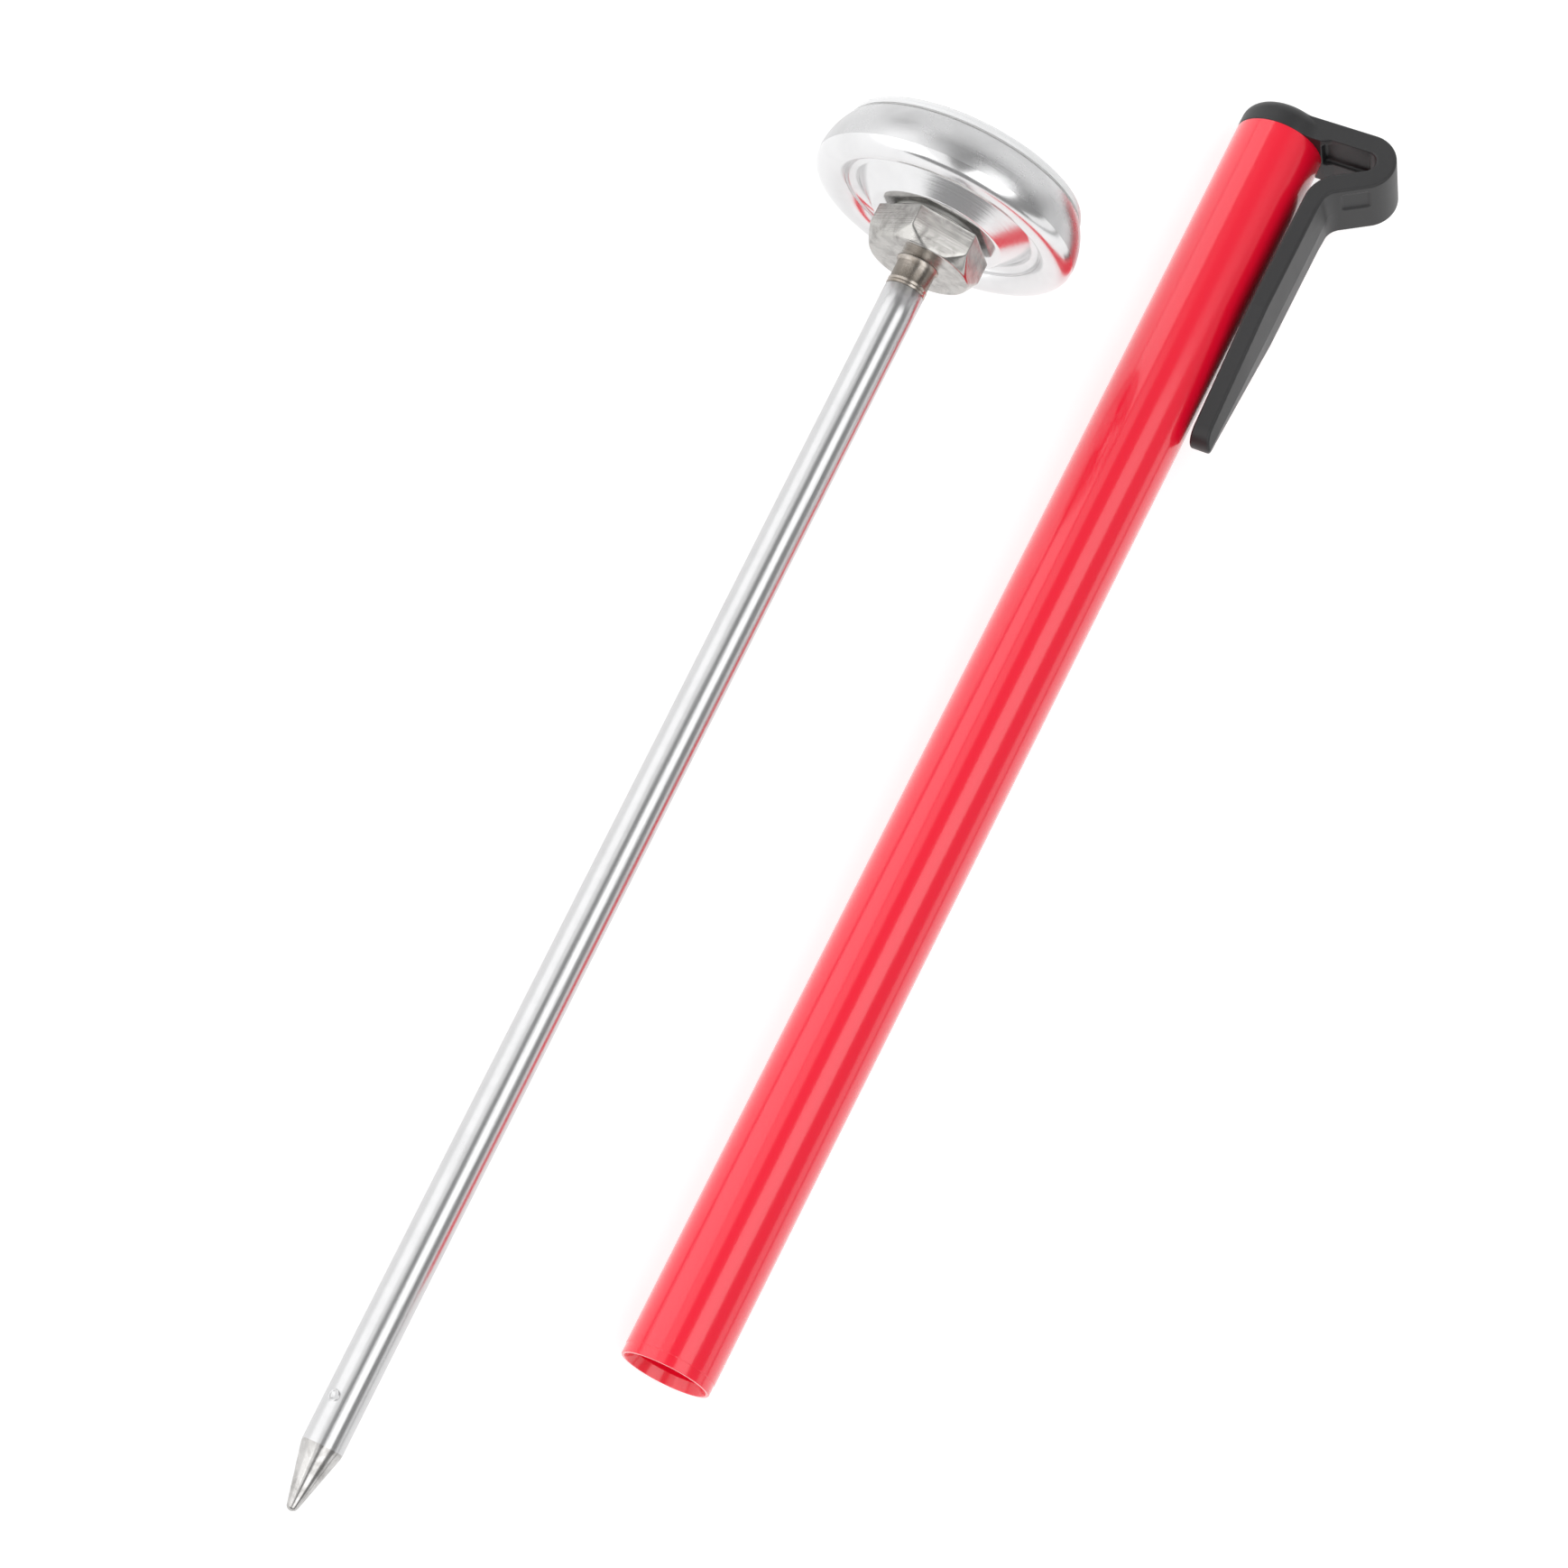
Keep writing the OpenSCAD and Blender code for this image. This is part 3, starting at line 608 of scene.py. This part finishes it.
# %% [markdown]
# The dial is a white enamelled disc. The scale runs clockwise through 300 degrees, from 0 to 220
# Fahrenheit, and the pointer rests at 72. Each mark is a thin raised slab like thick ink: its
# place is a turn for a temperature, worked out for all the marks at once.

# %% Dial print
DIAL_TOP = 132.03
START_F, END_F, REST_F, SWEEP = 0, 220, 72, 300
INK_H = 0.015
TICK_OUT = 10.55
TICK_IN = (9.0, 9.4, 9.9)
TICK_HALF = (0.09, 0.07, 0.04)
NUMBER_SIZE, NUMBER_R = 1.75, 7.75
UNIT_SIZE, UNIT_AT = 2.3, -4.2


def turn_at(degrees_f):
    """The clockwise turn of a temperature from the pointer's rest, in radians."""
    return np.radians((np.asarray(degrees_f, float) - REST_F) * SWEEP / (END_F - START_F))


def slabs(inner, outer, half, turns):
    """Boxes from radius inner to outer and half wide each way, one at each turn. Each box is eight
    points (sideways, outwards, up), turned by (cos, sin)."""
    inner, outer, half, turns = np.broadcast_arrays(inner, outer, half, turns)
    sideways = np.stack([-half, half, half, -half] * 2, -1)
    outwards = np.stack([inner, inner, outer, outer] * 2, -1)
    up = np.broadcast_to(np.repeat([0.0, INK_H], 4), sideways.shape)
    c, s = np.cos(turns)[:, None], np.sin(turns)[:, None]
    points = np.stack([outwards * s + sideways * c, outwards * c - sideways * s, DIAL_TOP + up], -1)
    cube = np.array([[0, 3, 2, 1], [4, 5, 6, 7], [0, 1, 5, 4], [1, 2, 6, 5], [2, 3, 7, 6],
                     [3, 0, 4, 7]])
    faces = (np.arange(len(turns)) * 8)[:, None, None] + cube[None]
    return points.reshape(-1, 3), faces.reshape(-1, 4)


marks_f = np.arange(START_F, END_F + 1, 2)
rank = np.where(marks_f % 20 == 0, 0, np.where(marks_f % 10 == 0, 1, 2))
tick_points, tick_faces = slabs(np.array(TICK_IN)[rank], TICK_OUT, np.array(TICK_HALF)[rank],
                                turn_at(marks_f))
ticks = make_object("dial_ticks", on(STEM, tick_points), tick_faces, sharp=30)
print("marks on the dial:", len(marks_f))

up_turn = float(turn_at((START_F + END_F) / 2))
dial_up = np.array([math.sin(up_turn), math.cos(up_turn)])
dial_right = np.array([math.cos(up_turn), -math.sin(up_turn)])


def label(words, size, at_right, at_up):
    """Words made a flat mesh, then laid on the dial: right and up are the dial's own."""
    curve = bpy.data.curves.new("label", "FONT")
    curve.body = words
    curve.size = size
    curve.align_x = "CENTER"
    curve.align_y = "CENTER"
    curve.extrude = INK_H / 2
    curve.resolution_u = 3
    holder = bpy.data.objects.new("label", curve)
    bpy.context.scene.collection.objects.link(holder)
    settled = holder.evaluated_get(bpy.context.evaluated_depsgraph_get())
    shape = bpy.data.meshes.new_from_object(settled)
    flat = np.empty(len(shape.vertices) * 3, np.float32)
    shape.vertices.foreach_get("co", flat)
    flat = flat.reshape(-1, 3)
    xy = (flat[:, :1] + at_right) * dial_right + (flat[:, 1:2] + at_up) * dial_up
    placed = on(STEM, np.column_stack([xy, DIAL_TOP + INK_H / 2 + flat[:, 2]]))
    shape.vertices.foreach_set("co", placed.astype(np.float32).ravel())
    bpy.data.objects.remove(holder)
    return shape


work = bmesh.new()
for value in range(START_F, END_F + 1, 20):
    angle = float(turn_at(value)) - up_turn
    work.from_mesh(label(str(value), NUMBER_SIZE, NUMBER_R * math.sin(angle),
                         NUMBER_R * math.cos(angle)))
work.from_mesh(label("°F", UNIT_SIZE, 0, UNIT_AT))
print_mesh = bpy.data.meshes.new("dial_numbers")
bmesh.ops.remove_doubles(work, verts=work.verts, dist=1e-8)
work.to_mesh(print_mesh)
work.free()
numbers = bpy.data.objects.new("dial_numbers", print_mesh)
bpy.context.scene.collection.objects.link(numbers)
ink = finish_of("black ink", (0.02, 0.02, 0.022), (0.035, 0.035, 0.035), rough=(0.4, 0.55),
                marks=(300, 0.5))
for piece in (ticks, numbers):
    dress(piece, ink)
    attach(piece, "dial_head")

# %% [markdown]
# The inner metal parts keep their CAD meshes, whose shapes are already exact, and only get a
# finish. The dial plate is enamel, the ring above it is white plastic.

# %% Finishes on CAD nodes
enamel = finish_of("white enamel", (0.88, 0.88, 0.86), (0.84, 0.84, 0.81), (0.25, 0.35),
                   marks=(120, 0.5))
ring_plastic = finish_of("ring plastic", (0.85, 0.85, 0.83), (0.80, 0.80, 0.78), (0.35, 0.5))
plain_steel = finish_of("plain steel", (0.58, 0.58, 0.58), (0.45, 0.45, 0.45), (0.25, 0.4), metal=1.0)
brass = finish_of("turned brass", (0.75, 0.58, 0.28), (0.6, 0.45, 0.2), (0.2, 0.35), metal=1.0)
bimetal = finish_of("bimetal strip", (0.70, 0.60, 0.42), (0.5, 0.42, 0.3), (0.25, 0.4), metal=1.0)
nylon = finish_of("nylon", (0.82, 0.81, 0.77), (0.75, 0.74, 0.70), (0.4, 0.55))
needle_paint = finish_of("pointer paint", (0.02, 0.02, 0.02), (0.04, 0.04, 0.04), (0.35, 0.5))
cad_finishes = (("dial_plate", enamel), ("dial_ring", ring_plastic), ("coil_anchor", plain_steel),
                ("bimetal_coil", bimetal), ("lower_bearing", brass), ("upper_bearing", brass),
                ("hub_collar", plain_steel), ("friction_washer", nylon), ("spindle", plain_steel),
                ("pointer_hub", brass), ("pointer", needle_paint))
for part, one in cad_finishes:
    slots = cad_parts[part].material_slots
    for k in range(len(slots)):
        slots[k].link = "OBJECT"
        slots[k].material = one
print("CAD nodes with a finish:", len(cad_finishes))

# %% [markdown]
# The sheath is a glossy injection-moulded tube, open at one end. Its wall thins to a lip at the
# mouth, with a fine step outside where the mould parts, and two low ribs inside steady the stem.

# %% Sheath tube
TUBE_LEN = 134.5
MOUTH_R, CAP_R, BORE_R = 4.3, 4.48, 3.6


def outside_r(z):
    """The tube widens steadily from mouth to cap."""
    return MOUTH_R + (CAP_R - MOUTH_R) * z / TUBE_LEN


GATE_S, GATE_TURN, GATE_H, GATE_R = 2.2, math.radians(-80), 0.04, 0.12
RIB_TURN, RIB_H, RIB_END = 0.5, 0.35, 60
STEP_S = 1.05
MOUTH_S = 3.0


def guide_ribs(t, r, z):
    """Two ribs on opposite sides of the bore that rise just inside the mouth, and outside, the
    small dot where the mould's gate was."""
    across = np.minimum(np.abs(np.mod(t - RIB_TURN + math.pi, 2 * math.pi) - math.pi),
                        np.abs(np.mod(t - RIB_TURN, 2 * math.pi) - math.pi)) * BORE_R
    proud = RIB_H * (1 - smooth_step(0.45, 0.6, across)) * smooth_step(0.7, 1.0, z)
    round_way = (np.mod(t - GATE_TURN + math.pi, 2 * math.pi) - math.pi) * MOUTH_R
    gate = GATE_H * np.exp(-(np.hypot(round_way, z - GATE_S) / GATE_R) ** 2)
    return np.where((r < BORE_R + 0.3) & (z < RIB_END), -proud, np.where(r > MOUTH_R - 0.1, gate, 0))


outer_line = rounded([
    (outside_r(TUBE_LEN), TUBE_LEN), (outside_r(STEP_S), STEP_S),
    (outside_r(STEP_S) - 0.05, STEP_S - 0.06), (MOUTH_R - 0.05, 0.0), (BORE_R + 0.35, 0.0)],
    [0, 0.03, 0.03, 0.12, 0], 5)
mouth_line = rounded([(BORE_R + 0.35, 0.0), (BORE_R + 0.30, 0.12), (BORE_R, 1.0), (BORE_R, MOUTH_S)],
                     0.06, 4)
gate_rows = np.arange(GATE_S + 0.35, GATE_S - 0.36, -0.05)
tube_line = np.concatenate([
    fill_in([(outside_r(TUBE_LEN), TUBE_LEN), (outside_r(MOUTH_S), MOUTH_S)], 4.0),
    np.stack([outside_r(gate_rows), gate_rows], -1), fill_in(outer_line[1:], 4.0),
    fill_in(mouth_line, 0.2)[1:], fill_in([(BORE_R, MOUTH_S), (BORE_R, TUBE_LEN)], 6.0)[1:]])
tube = turned("sheath_shell", SHEATH, tube_line, 256, guide_ribs, close=True, sharp=50)
red = finish_of("red plastic", (0.90, 0.004, 0.030), (0.88, 0.004, 0.029), rough=(0.22, 0.26),
                ior=1.55, marks=(90.0, 0.15), coat=0.7, deep=0.12)
dress(tube, red)
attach(tube, "sheath")
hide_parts("sheath_tube")

# %% [markdown]
# The cap and clip are one moulding in dark grey plastic: a cap, an arm that flows out of it, a
# loop that springs, and a tapering blade. Its walls, blends and cored pockets are easiest to say
# as a distance: how far each point of space is from the surface, negative inside. Distances
# combine simply: the smaller of two joins them, the larger cuts, and a rounded version of each
# gives a fillet. The surface is then drawn where the distance is zero.

# %% Clip path
STRIP_T, STRIP_W = 2.0, 7.0
LOOP_R, LOOP_X, LOOP_Y = 3.05, 9.35, 133.9
LOOP_TURN, BLADE_LEAN, BLADE_LEN, BLADE_GAP, KNEE_R = 60.0, 0.56, 27.4, 0.72, 2.6
mid_r = LOOP_R - STRIP_T / 2
arm_dir, blade_dir = math.radians(270 - LOOP_TURN), math.radians(270 - BLADE_LEAN)
blade_x = CAP_R + BLADE_GAP + STRIP_T / 2 + BLADE_LEN * math.sin(math.radians(BLADE_LEAN))
loop_end = np.array([LOOP_X + mid_r * math.cos(math.radians(LOOP_TURN)),
                     LOOP_Y - mid_r * math.sin(math.radians(LOOP_TURN))])
arm_len = (blade_x - loop_end[0]
           + KNEE_R * (math.sin(arm_dir) - math.sin(blade_dir))) / math.cos(arm_dir)
arm_end = loop_end + arm_len * np.array([math.cos(arm_dir), math.sin(arm_dir)])
knee_c = arm_end + KNEE_R * np.array([-math.sin(arm_dir), math.cos(arm_dir)])
knee_end = knee_c - KNEE_R * np.array([-math.sin(blade_dir), math.cos(blade_dir)])
blade_end = knee_end + BLADE_LEN * np.array([math.cos(blade_dir), math.sin(blade_dir)])
ARM_MID_Y = LOOP_Y + mid_r
lengths = np.array([LOOP_X, mid_r * math.radians(90 + LOOP_TURN), arm_len,
                    KNEE_R * (blade_dir - arm_dir), BLADE_LEN])
starts = np.concatenate([[0], np.cumsum(lengths)])
print("clip path:", np.round(lengths, 2), "mm")
print("blade from", np.round(knee_end, 2), "to", np.round(blade_end, 2))


def along_line(x, y, start, heading, length):
    """Distance from a straight stretch, the way along it, and the offset to its left."""
    dx, dy = x - start[0], y - start[1]
    way = dx * math.cos(heading) + dy * math.sin(heading)
    left = -dx * math.sin(heading) + dy * math.cos(heading)
    return np.hypot(way - np.clip(way, 0, length), left), way, left


def along_arc(x, y, centre, radius, first, swing):
    """The same from an arc that starts at an angle and swings by another (clockwise is negative)."""
    dx, dy = x - centre[0], y - centre[1]
    middle = first + swing / 2
    turned_by = np.mod(np.arctan2(dy, dx) - middle + math.pi, 2 * math.pi) - math.pi
    held = np.clip(turned_by, -abs(swing) / 2, abs(swing) / 2)
    away = np.hypot(dx - radius * np.cos(middle + held), dy - radius * np.sin(middle + held))
    way = (held * np.sign(swing) + abs(swing) / 2) * radius
    left = (np.hypot(dx, dy) - radius) * (-np.sign(swing))
    return away, way, left


def on_path(x, y):
    """The way along the clip's middle line and the offset to its outer side, by the nearest of
    its five stretches."""
    stretches = [
        along_line(x, y, (0, ARM_MID_Y), 0.0, lengths[0]),
        along_arc(x, y, (LOOP_X, LOOP_Y), mid_r, math.pi / 2, -math.radians(90 + LOOP_TURN)),
        along_line(x, y, loop_end, arm_dir, lengths[2]),
        along_arc(x, y, knee_c, KNEE_R, arm_dir - math.pi / 2, blade_dir - arm_dir),
        along_line(x, y, knee_end, blade_dir, lengths[4])]
    best, way, left = stretches[0]
    for k in range(1, 5):
        nearer = stretches[k][0] < best
        best = np.where(nearer, stretches[k][0], best)
        way = np.where(nearer, starts[k] + stretches[k][1], way)
        left = np.where(nearer, stretches[k][2], left)
    return way, left


# %% Clip as a distance
def cut_round(a, b, radius):
    """The larger of two distances, with the outer corner between them rounded to a radius."""
    past = np.hypot(np.maximum(a + radius, 0), np.maximum(b + radius, 0))
    return np.minimum(np.maximum(a, b), -radius) + past


def box_away(p, low, high, radius):
    """Distance from a box with rounded edges, p being a list of three arrays."""
    parts = [np.maximum(low[k] - p[k], p[k] - high[k]) + radius for k in range(3)]
    outside = np.sqrt(sum(np.maximum(q, 0) ** 2 for q in parts))
    inside = np.minimum(np.maximum(np.maximum(parts[0], parts[1]), parts[2]), 0)
    return outside + inside - radius


EDGE = 0.24
UPPER_DEPTH, LOWER_DEPTH = 0.45, 0.16
POCKET_EDGE, POCKET_SIDE = 0.07, 2.7
END_HALF, TAPER_LEN = 1.75, 14.5
RIDGE_H, RIDGE_FALL = 0.16, 0.38
FILLET = 4.0
CAP_LOW, CAP_TOP, CAP_ROUND = 134.52, 137.35, 1.5
PLUG_LOW, PLUG_TOP = 130.0, 135.0


def clip_distance(x, y, w):
    """Cap and fillets, plus the strip on its path, less the two cored pockets."""
    way, left = on_path(x, y)
    from_knee = way - starts[4]
    to_end = BLADE_LEN - from_knee
    share = np.clip((to_end - END_HALF) / (TAPER_LEN - END_HALF), 0, 1)
    half_w = END_HALF + (STRIP_W / 2 - END_HALF) * share
    crown = smooth_step(-3.0, 2.0, from_knee)
    ridge = STRIP_T / 2 + crown * (RIDGE_H - RIDGE_FALL * np.minimum(np.abs(w) / half_w, 1))
    past_end = np.hypot(np.maximum(from_knee - (BLADE_LEN - END_HALF), 0), w) - half_w
    sides = np.maximum(np.abs(w) - half_w, np.where(from_knee > BLADE_LEN - END_HALF, past_end, -9))
    faces = np.maximum(-STRIP_T / 2 - left, left - ridge)
    strip = cut_round(sides, faces, EDGE)
    strip = np.where(way < -0.5, 5.0, strip)

    plan_cap = np.hypot(x, w) - CAP_R
    plan_arm = np.maximum(np.abs(w) - STRIP_W / 2, np.maximum(-x, x - LOOP_X))
    reach = math.sqrt((CAP_R + FILLET) ** 2 - (STRIP_W / 2 + FILLET) ** 2)
    between = (x > 0) & (x < reach) & (np.abs(w) * reach < x * (STRIP_W / 2 + FILLET))
    hollow = FILLET - np.hypot(x - reach, np.abs(w) - (STRIP_W / 2 + FILLET))
    plan = np.where(between, np.maximum(hollow, -STRIP_W / 2), np.minimum(plan_cap, plan_arm))
    arm_low, arm_high = ARM_MID_Y - STRIP_T / 2, ARM_MID_Y + STRIP_T / 2
    out = smooth_step(3.6, 6.6, x)
    low = CAP_LOW + (arm_low - CAP_LOW) * smooth_step(4.4, 5.6, x)
    high = CAP_TOP + (arm_high - CAP_TOP) * out
    corner = CAP_ROUND + (EDGE - CAP_ROUND) * out
    top = cut_round(plan, y - high, corner)
    body = cut_round(top, low - y, 0.12)
    plug = cut_round(np.hypot(x, w) - (BORE_R - 0.02), np.maximum(PLUG_LOW - y, y - PLUG_TOP), 0.3)
    whole = np.minimum(np.minimum(strip, body), plug)

    upper = box_away([x, y, w], [CAP_R + 0.1, arm_low - 2, -0.7],
                     [CAP_R + 4.9, arm_low + UPPER_DEPTH, POCKET_SIDE], 0.35)
    lower = box_away([way - starts[2], left, w], [-0.1, STRIP_T / 2 - LOWER_DEPTH, 0.1],
                     [lengths[2] - 0.3, 4.0, POCKET_SIDE], 0.3)
    return cut_round(cut_round(whole, -upper, POCKET_EDGE), -lower, POCKET_EDGE)


# %% [markdown]
# To draw the surface, space is sampled on a grid. A cell that the surface passes through gets
# one point, at the mean of the places where the surface crosses its edges, and each crossed edge
# joins the four cells round it with a face. Three steps along the distance's own slope then carry
# every point very nearly onto the surface, and that slope is also its normal.

# %% Surface of a distance
SLOPE_STEP = 0.01


def surface_of(distance, low, high, pitch):
    """Points, faces and normals of distance = 0 on a grid of a pitch, all in mm."""
    axes = [np.arange(low[k], high[k], pitch) for k in range(3)]
    values = np.stack([distance(*np.meshgrid([x], axes[1], axes[2], indexing="ij"))[0]
                       for x in axes[0]])
    inside = values < 0
    shape = np.array(values.shape) - 1
    sums, counts = np.zeros((*shape, 3)), np.zeros(shape)
    for axis in range(3):
        one = np.eye(3, dtype=int)[axis]
        first = values[tuple(slice(0, n - o) for n, o in zip(values.shape, one))]
        second = values[tuple(slice(o, None) for o in one)]
        crossed = (first < 0) != (second < 0)
        share = np.where(crossed, first / np.where(crossed, first - second, 1), 0)
        others = [k for k in range(3) if k != axis]
        for da in (0, 1):
            for db in (0, 1):
                pick = [slice(0, shape[k]) for k in range(3)]
                pick[others[0]] = slice(da, shape[others[0]] + da)
                pick[others[1]] = slice(db, shape[others[1]] + db)
                hit = crossed[tuple(pick)]
                counts += hit
                sums[..., axis] += share[tuple(pick)] * hit
                sums[..., others[0]] += da * hit
                sums[..., others[1]] += db * hit
    used = counts > 0
    number = np.full(used.shape, -1)
    number[used] = np.arange(used.sum())
    cells = np.argwhere(used)
    points = np.array([a[0] for a in axes]) + (cells + sums[used] / counts[used][:, None]) * pitch
    faces = []
    for axis in range(3):
        b, c = [(1, 2), (2, 0), (0, 1)][axis]
        one = np.eye(3, dtype=int)
        first = inside[tuple(slice(0, n - o) for n, o in zip(inside.shape, one[axis]))]
        second = inside[tuple(slice(o, None) for o in one[axis])]
        edges = np.argwhere(first != second)
        edges = edges[(edges[:, b] > 0) & (edges[:, c] > 0)
                      & (edges[:, b] < shape[b]) & (edges[:, c] < shape[c])]
        flip = first[tuple(edges.T)]
        around = np.stack([number[tuple((edges - s * one[b] - q * one[c]).T)]
                           for s, q in ((0, 0), (1, 0), (1, 1), (0, 1))], -1)
        faces.append(np.where(flip[:, None], around, around[:, ::-1]))

    def slope(p):
        rises = [distance(*(p + m).T) - distance(*(p - m).T) for m in np.eye(3) * SLOPE_STEP]
        return np.stack(rises, -1) / (2 * SLOPE_STEP)

    for _ in range(3):
        g = slope(points)
        gap = np.clip(distance(*points.T), -pitch, pitch)[:, None]
        points = points - gap * g / np.maximum((g ** 2).sum(1), 0.25)[:, None]
    g = slope(points)
    return points, np.concatenate(faces), g / np.linalg.norm(g, axis=1)[:, None]


clip_points, clip_faces, clip_normals = surface_of(
    clip_distance, (-4.9, 99.0, -4.9), (12.9, 137.9, 4.9), 0.145)
print("clip moulding:", len(clip_points), "points,", len(clip_faces), "faces")

# %% [markdown]
# The blade springs outwards on the loop. So the moulding is parted into three objects along lines that
# the eye can't find, since they share their points and normals: the cap and upper arm stay on the
# sheath, the blade swings on its own body, and the loop stays fixed on the table between the two.

# %% Clip pieces
grey = finish_of("grey plastic", (0.021, 0.021, 0.022), (0.027, 0.027, 0.028), rough=(0.42, 0.52),
                 ior=1.46, grainy=0.004, marks=(200.0, 0.6))
to_table = on(SHEATH, clip_points[:, [0, 2, 1]] * [1, -1, 1])
axes = np.stack([SHEATH["x"], SHEATH["y"], SHEATH["z"]])
normals = (clip_normals[:, [0, 2, 1]] * [1, -1, 1]) @ axes
middle = clip_points[clip_faces].mean(1)
is_loop = middle[:, 0] > LOOP_X
is_plug = np.hypot(middle[:, 0], middle[:, 2]) < BORE_R + 0.3
is_cap = ~is_loop & ((middle[:, 1] > LOOP_Y - 0.1) | is_plug)
for name, chosen, body, stands_for in (
        ("clip_root", is_cap, "sheath", ["clip_cap"]), ("clip_loop", is_loop, None, []),
        ("clip_spring", ~is_loop & ~is_cap, "clip", ["clip_blade"])):
    kept, renumbered = np.unique(clip_faces[chosen], return_inverse=True)
    mesh = bpy.data.meshes.new(name)
    mesh.from_pydata(to_table[kept], [], renumbered.reshape(-1, 4))
    mesh.shade_smooth()
    mesh.normals_split_custom_set_from_vertices(normals[kept])
    piece = bpy.data.objects.new(name, mesh)
    bpy.context.scene.collection.objects.link(piece)
    dress(piece, grey)
    if body:
        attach(piece, body)
    else:
        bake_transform(piece)
    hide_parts(*stands_for)
    print(name, len(mesh.polygons), "faces")

# %% [markdown]
# The studio is a pale floor that glows a little, so that it reads as white, and five soft panels.
# Polished metal shows nothing but its surroundings, so the panels are placed for what the stem
# and tube mirror: two on the left, a strip and a low panel on the right, and one past the head.

# %% Studio
FLOOR_HALF, FLOOR_DROP, FLOOR_GLOW = 3.0, 0.00005, 0.74
floor_mesh = bpy.data.meshes.new("floor")
floor_corners = [(x * FLOOR_HALF, y * FLOOR_HALF, -FLOOR_DROP)
                 for x, y in ((-1, -1), (1, -1), (1, 1), (-1, 1))]
floor_mesh.from_pydata(floor_corners, [], [(0, 1, 2, 3)])
floor = bpy.data.objects.new("floor", floor_mesh)
bpy.context.scene.collection.objects.link(floor)
floor_paint = finish_of("floor", (0.40, 0.40, 0.40), (0.39, 0.39, 0.39), (0.8, 0.9), marks=(2.0, 0.5))
floor_shader = floor_paint.node_tree.nodes["Principled BSDF"]
floor_shader.inputs["Emission Color"].default_value = (1, 1, 1, 1)
floor_shader.inputs["Emission Strength"].default_value = FLOOR_GLOW
dress(floor, floor_paint)

ACROSS = Vector((0.988, 0.0, 0.154))
END_PLACE = Vector((0.0, 0.95, 0.42))


def soft_box(name, place, facing, length, width, brightness):
    """A panel at a place, turned by facing. Power in watts is brightness * pi * area."""
    data = bpy.data.lights.new(name, "AREA")
    data.shape = "RECTANGLE"
    data.size, data.size_y = length, width
    data.energy = brightness * math.pi * length * width
    lamp = bpy.data.objects.new(name, data)
    bpy.context.scene.collection.objects.link(lamp)
    lamp.matrix_world = Matrix.Translation(place) @ facing.to_4x4()


def along_table(turn, distance):
    """Place and facing of a panel that runs along the table, at a turn in degrees about the long
    axis from the viewing direction (to the right is positive)."""
    place = (math.cos(math.radians(turn)) * BACK + math.sin(math.radians(turn)) * ACROSS) * distance
    z = place.normalized()
    x = (Vector((0, 1, 0)) - z * z.y).normalized()
    return place, Matrix((x, z.cross(x), z)).transposed()


for name, turn, distance, length, width, brightness in (
        ("left panel", -57.5, 1.1, 2.2, 0.91, 1.3), ("left edge", -25, 1.1, 2.2, 0.42, 0.85),
        ("right strip", 25, 0.9, 1.8, 0.60, 1.6), ("low panel", 84, 1.0, 1.8, 0.30, 0.8)):
    soft_box(name, *along_table(turn, distance), length, width, brightness)
soft_box("end panel", END_PLACE, END_PLACE.to_track_quat("Z", "Y").to_matrix(), 2.0, 0.8, 0.8)
bpy.context.scene.view_settings.view_transform = "Standard"
world = bpy.data.worlds.new("room")
bpy.context.scene.world = world
world.use_nodes = True
world.node_tree.nodes["Background"].inputs[0].default_value = (1, 1, 1, 1)
world.node_tree.nodes["Background"].inputs[1].default_value = 0.30
